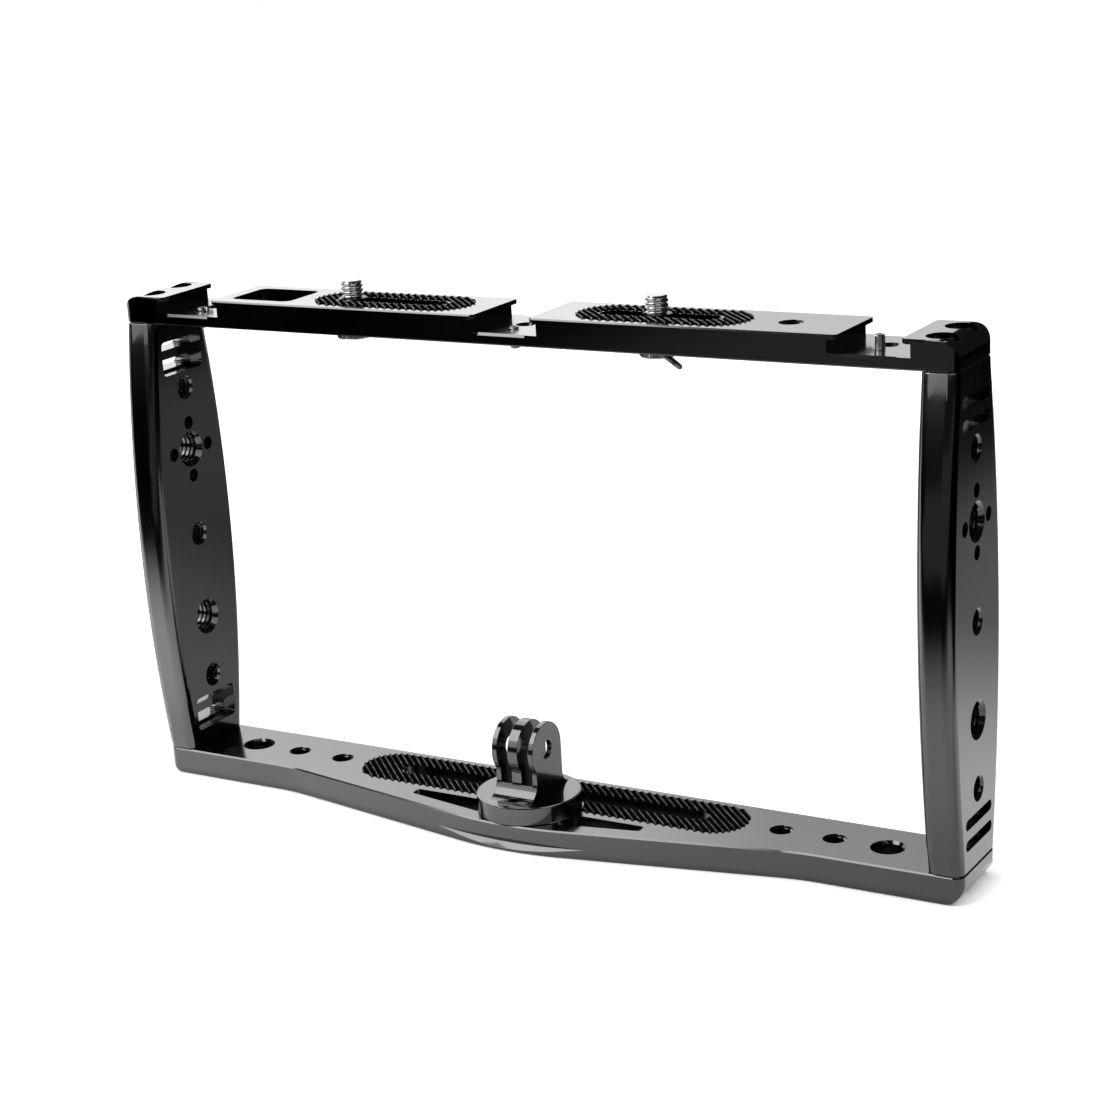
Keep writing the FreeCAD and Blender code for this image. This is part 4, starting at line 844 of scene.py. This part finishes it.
class STABILIZER_OT_studio(Operator):
    """Lay the paper floor, hang the lights and set the camera"""
    bl_idname = "stabilizer.studio"
    bl_label = "Studio"

    def execute(self, context):
        studio = context.scene.stabilizer_studio
        scene = context.scene
        scene.view_settings.view_transform = "Standard"
        self.lay_floor(studio)
        for card in CARDS:
            self.hang_card(*card)
        self.light_room(scene, studio)
        self.add_lamp("key_light", (-0.63, -0.63, 0.95), 0.9, studio.key_power)
        self.add_lamp("fill_light", (0.9, 0.3, 0.8), 0.6, studio.fill_power, glossy=False)
        camera = bpy.data.cameras.new("camera")
        camera.lens, camera.sensor_width = studio.lens, 36.0
        camera.shift_x, camera.shift_y = CAMERA_SHIFT
        camera.clip_start, camera.clip_end = 0.05, 20.0
        holder = bpy.data.objects.new("camera", camera)
        holder.matrix_world = (Matrix.Translation(CAMERA_PLACE)
                               @ Matrix.Rotation(math.radians(CAMERA_HEADING), 4, "Z")
                               @ Matrix.Rotation(math.radians(90 - CAMERA_PITCH), 4, "X")
                               @ Matrix.Rotation(math.radians(CAMERA_ROLL), 4, "Z"))
        scene.collection.objects.link(holder)
        scene.camera = holder
        return {"FINISHED"}

    @staticmethod
    def lay_floor(studio):
        """White paper. The camera sees it white, with the frame's shadow, partly the paper's real shadow and
        partly a painted contact shadow. In the metal it shows a painted glow, a bright strip that fades to
        dark at the front and at the back."""
        material, tree, place = new_material("white_paper")
        rays = add_node(tree, "ShaderNodeLightPath").outputs
        axes = add_node(tree, "ShaderNodeSeparateXYZ", {"Vector": place}).outputs

        def fade(axis, start, end, first, last):
            """Goes smoothly from the first value to the last between two places in metres."""
            return add_node(tree, "ShaderNodeMapRange", {
                "Value": axes[axis], "From Min": start, "From Max": end, "To Min": first, "To Max": last},
                interpolation_type="SMOOTHSTEP").outputs["Result"]

        # The painted glow's strips in front of the frame, further ahead of it and behind it.
        near = product(tree, fade("Y", -0.245, -0.09, 0.0, 1.0), fade("Y", -0.06, -0.02, 1.0, 0.75),
                       fade("X", -0.22, 0.16, 1.95, 1.0), fade("X", 0.3, 0.42, 1.0, 0.0))
        far = product(tree, fade("Y", -0.41, -0.33, 0.16, 0.0), fade("X", -0.36, -0.24, 0.0, 1.0))
        ahead = add_node(tree, "ShaderNodeMath", {0: near, 1: far}, operation="ADD").outputs["Value"]
        behind = product(tree, fade("Y", 0.06, 0.24, 1.0, 0.25), fade("X", -0.05, 0.13, 0.5, 1.0),
                         fade("X", 0.24, 0.31, 1.0, 0.0))
        glow = add_node(tree, "ShaderNodeMix", {"Factor": fade("Y", -0.005, 0.02, 0.0, 1.0), "A": ahead,
                                                "B": behind}, data_type="FLOAT")
        reach = add_node(tree, "ShaderNodeVectorMath", {0: place}, operation="LENGTH")
        lift = add_node(tree, "ShaderNodeMapRange", {"Value": reach.outputs["Value"], "From Min": 0.25,
                                                     "From Max": 1.2, "To Min": 0.6, "To Max": 0.95})
        # The occlusion darkens the floor's glow near the frame. This is a painted contact shadow, for the
        # camera and in the metal, on top of the paper's real shadow.
        contact = add_node(tree, "ShaderNodeAmbientOcclusion", {"Distance": 5 * MM}, samples=8).outputs["AO"]
        paper = add_node(tree, "ShaderNodeBsdfDiffuse", {"Color": opaque(studio.floor)})
        bright = add_node(tree, "ShaderNodeEmission", {
            "Strength": product(tree, lift.outputs["Result"], contact)})
        seen = add_node(tree, "ShaderNodeAddShader", {0: paper.outputs["BSDF"],
                                                      1: bright.outputs["Emission"]})
        mirrored = add_node(tree, "ShaderNodeEmission", {
            "Strength": product(tree, glow.outputs["Result"], contact)})
        to_camera = add_node(tree, "ShaderNodeMixShader", {"Fac": rays["Is Camera Ray"],
                                                           1: paper.outputs["BSDF"],
                                                           2: seen.outputs["Shader"]})
        surface = add_node(tree, "ShaderNodeMixShader", {"Fac": rays["Is Glossy Ray"],
                                                         1: to_camera.outputs["Shader"],
                                                         2: mirrored.outputs["Emission"]})
        add_node(tree, "ShaderNodeOutputMaterial", {"Surface": surface.outputs["Shader"]})
        bm = bmesh.new()
        bmesh.ops.create_grid(bm, x_segments=2, y_segments=2, size=studio.floor_size / 2)
        bmesh.ops.translate(bm, verts=bm.verts, vec=(0.0, 0.0, -0.1 * MM))
        new_piece("paper_floor", bm, material)

    @staticmethod
    def hang_card(name, middle, width, height, turn, rise, side):
        """A tall white card that only the metal shows, turned by an angle in degrees."""
        material, tree, place = new_material(name)
        axes = add_node(tree, "ShaderNodeSeparateXYZ", {"Vector": place}).outputs
        inputs = ("Value", "From Min", "From Max", "To Min", "To Max")
        glow = product(tree, *(
            add_node(tree, "ShaderNodeMapRange", dict(zip(inputs, (axes[axis], *span)))).outputs["Result"]
            for axis, span in (("Z", rise), ("X", side))))
        light = add_node(tree, "ShaderNodeEmission", {"Strength": glow})
        add_node(tree, "ShaderNodeOutputMaterial", {"Surface": light.outputs["Emission"]})
        bm = bmesh.new()
        bmesh.ops.create_grid(bm, x_segments=2, y_segments=2, size=0.5)
        bmesh.ops.scale(bm, verts=bm.verts, vec=(width, height, 1.0))
        bmesh.ops.rotate(bm, verts=bm.verts, matrix=Matrix.Rotation(math.pi / 2, 3, "X"))
        bmesh.ops.rotate(bm, verts=bm.verts, matrix=Matrix.Rotation(math.radians(turn), 3, "Z"))
        bmesh.ops.translate(bm, verts=bm.verts, vec=middle)
        card = new_piece(name, bm, material)
        card.visible_camera = card.visible_diffuse = card.visible_shadow = False

    @staticmethod
    def light_room(scene, studio):
        """Even light for matte surfaces, white behind the frame and dark in the metal."""
        world = bpy.data.worlds.new("studio")
        world.use_nodes = True
        tree = world.node_tree
        tree.nodes.clear()
        rays = add_node(tree, "ShaderNodeLightPath").outputs
        dark = add_node(tree, "ShaderNodeMapRange", {"Value": rays["Is Glossy Ray"], "To Min": studio.sky,
                                                     "To Max": 0.02})
        white = add_node(tree, "ShaderNodeMath", {0: dark.outputs["Result"], 1: rays["Is Camera Ray"]},
                         operation="MAXIMUM")
        sky = add_node(tree, "ShaderNodeBackground", {"Color": (1, 1, 1, 1),
                                                      "Strength": white.outputs["Value"]})
        add_node(tree, "ShaderNodeOutputWorld", {"Surface": sky.outputs["Background"]})
        scene.world = world

    @staticmethod
    def add_lamp(name, place, size, power, glossy=True):
        light = bpy.data.lights.new(name, "AREA")
        light.shape, light.size, light.energy = "SQUARE", size, power
        lamp = bpy.data.objects.new(name, light)
        lamp.location = place
        lamp.rotation_euler = (-Vector(place)).to_track_quat("-Z", "Y").to_euler()
        lamp.visible_glossy = glossy
        bpy.context.scene.collection.objects.link(lamp)


PIECES = (STABILIZER_OT_tapped_frame, STABILIZER_OT_prong_mount, STABILIZER_OT_rubber_pads,
          STABILIZER_OT_camera_screws, STABILIZER_OT_set_screws, STABILIZER_OT_cap_screws,
          STABILIZER_OT_studio)


class STABILIZER_PT_sidebar(Panel):
    """Sizes, colours and pieces of the stabilizer"""
    bl_idname = "STABILIZER_PT_sidebar"
    bl_label = "Camera Stabilizer"
    bl_space_type = "VIEW_3D"
    bl_region_type = "UI"
    bl_category = "Stabilizer"

    def draw(self, context):
        scene = context.scene
        for title, group in (("Finishes", scene.stabilizer_finishes), ("Pads", scene.stabilizer_pads),
                             ("Threads", scene.stabilizer_threads), ("Studio", scene.stabilizer_studio)):
            box = self.layout.box()
            box.label(text=title)
            for name in group.__annotations__:
                box.prop(group, name)
        for piece in PIECES:
            self.layout.operator(piece.bl_idname)


GROUPS = {"stabilizer_finishes": StabilizerFinishes, "stabilizer_pads": StabilizerPads,
          "stabilizer_threads": StabilizerThreads, "stabilizer_studio": StabilizerStudio}


def register():
    for group in GROUPS.values():
        bpy.utils.register_class(group)
    for cls in (*PIECES, STABILIZER_PT_sidebar):
        bpy.utils.register_class(cls)
    for name, group in GROUPS.items():
        setattr(bpy.types.Scene, name, PointerProperty(type=group))


def unregister():
    for name in GROUPS:
        delattr(bpy.types.Scene, name)
    for cls in (STABILIZER_PT_sidebar, *reversed(PIECES)):
        bpy.utils.unregister_class(cls)
    for group in reversed(GROUPS.values()):
        bpy.utils.unregister_class(group)


def main():
    register()
    bpy.ops.stabilizer.tapped_frame()
    bpy.ops.stabilizer.prong_mount()
    bpy.ops.stabilizer.rubber_pads()
    bpy.ops.stabilizer.camera_screws()
    bpy.ops.stabilizer.set_screws()
    bpy.ops.stabilizer.cap_screws()
    bpy.ops.stabilizer.studio()


if __name__ == "__main__":
    main()
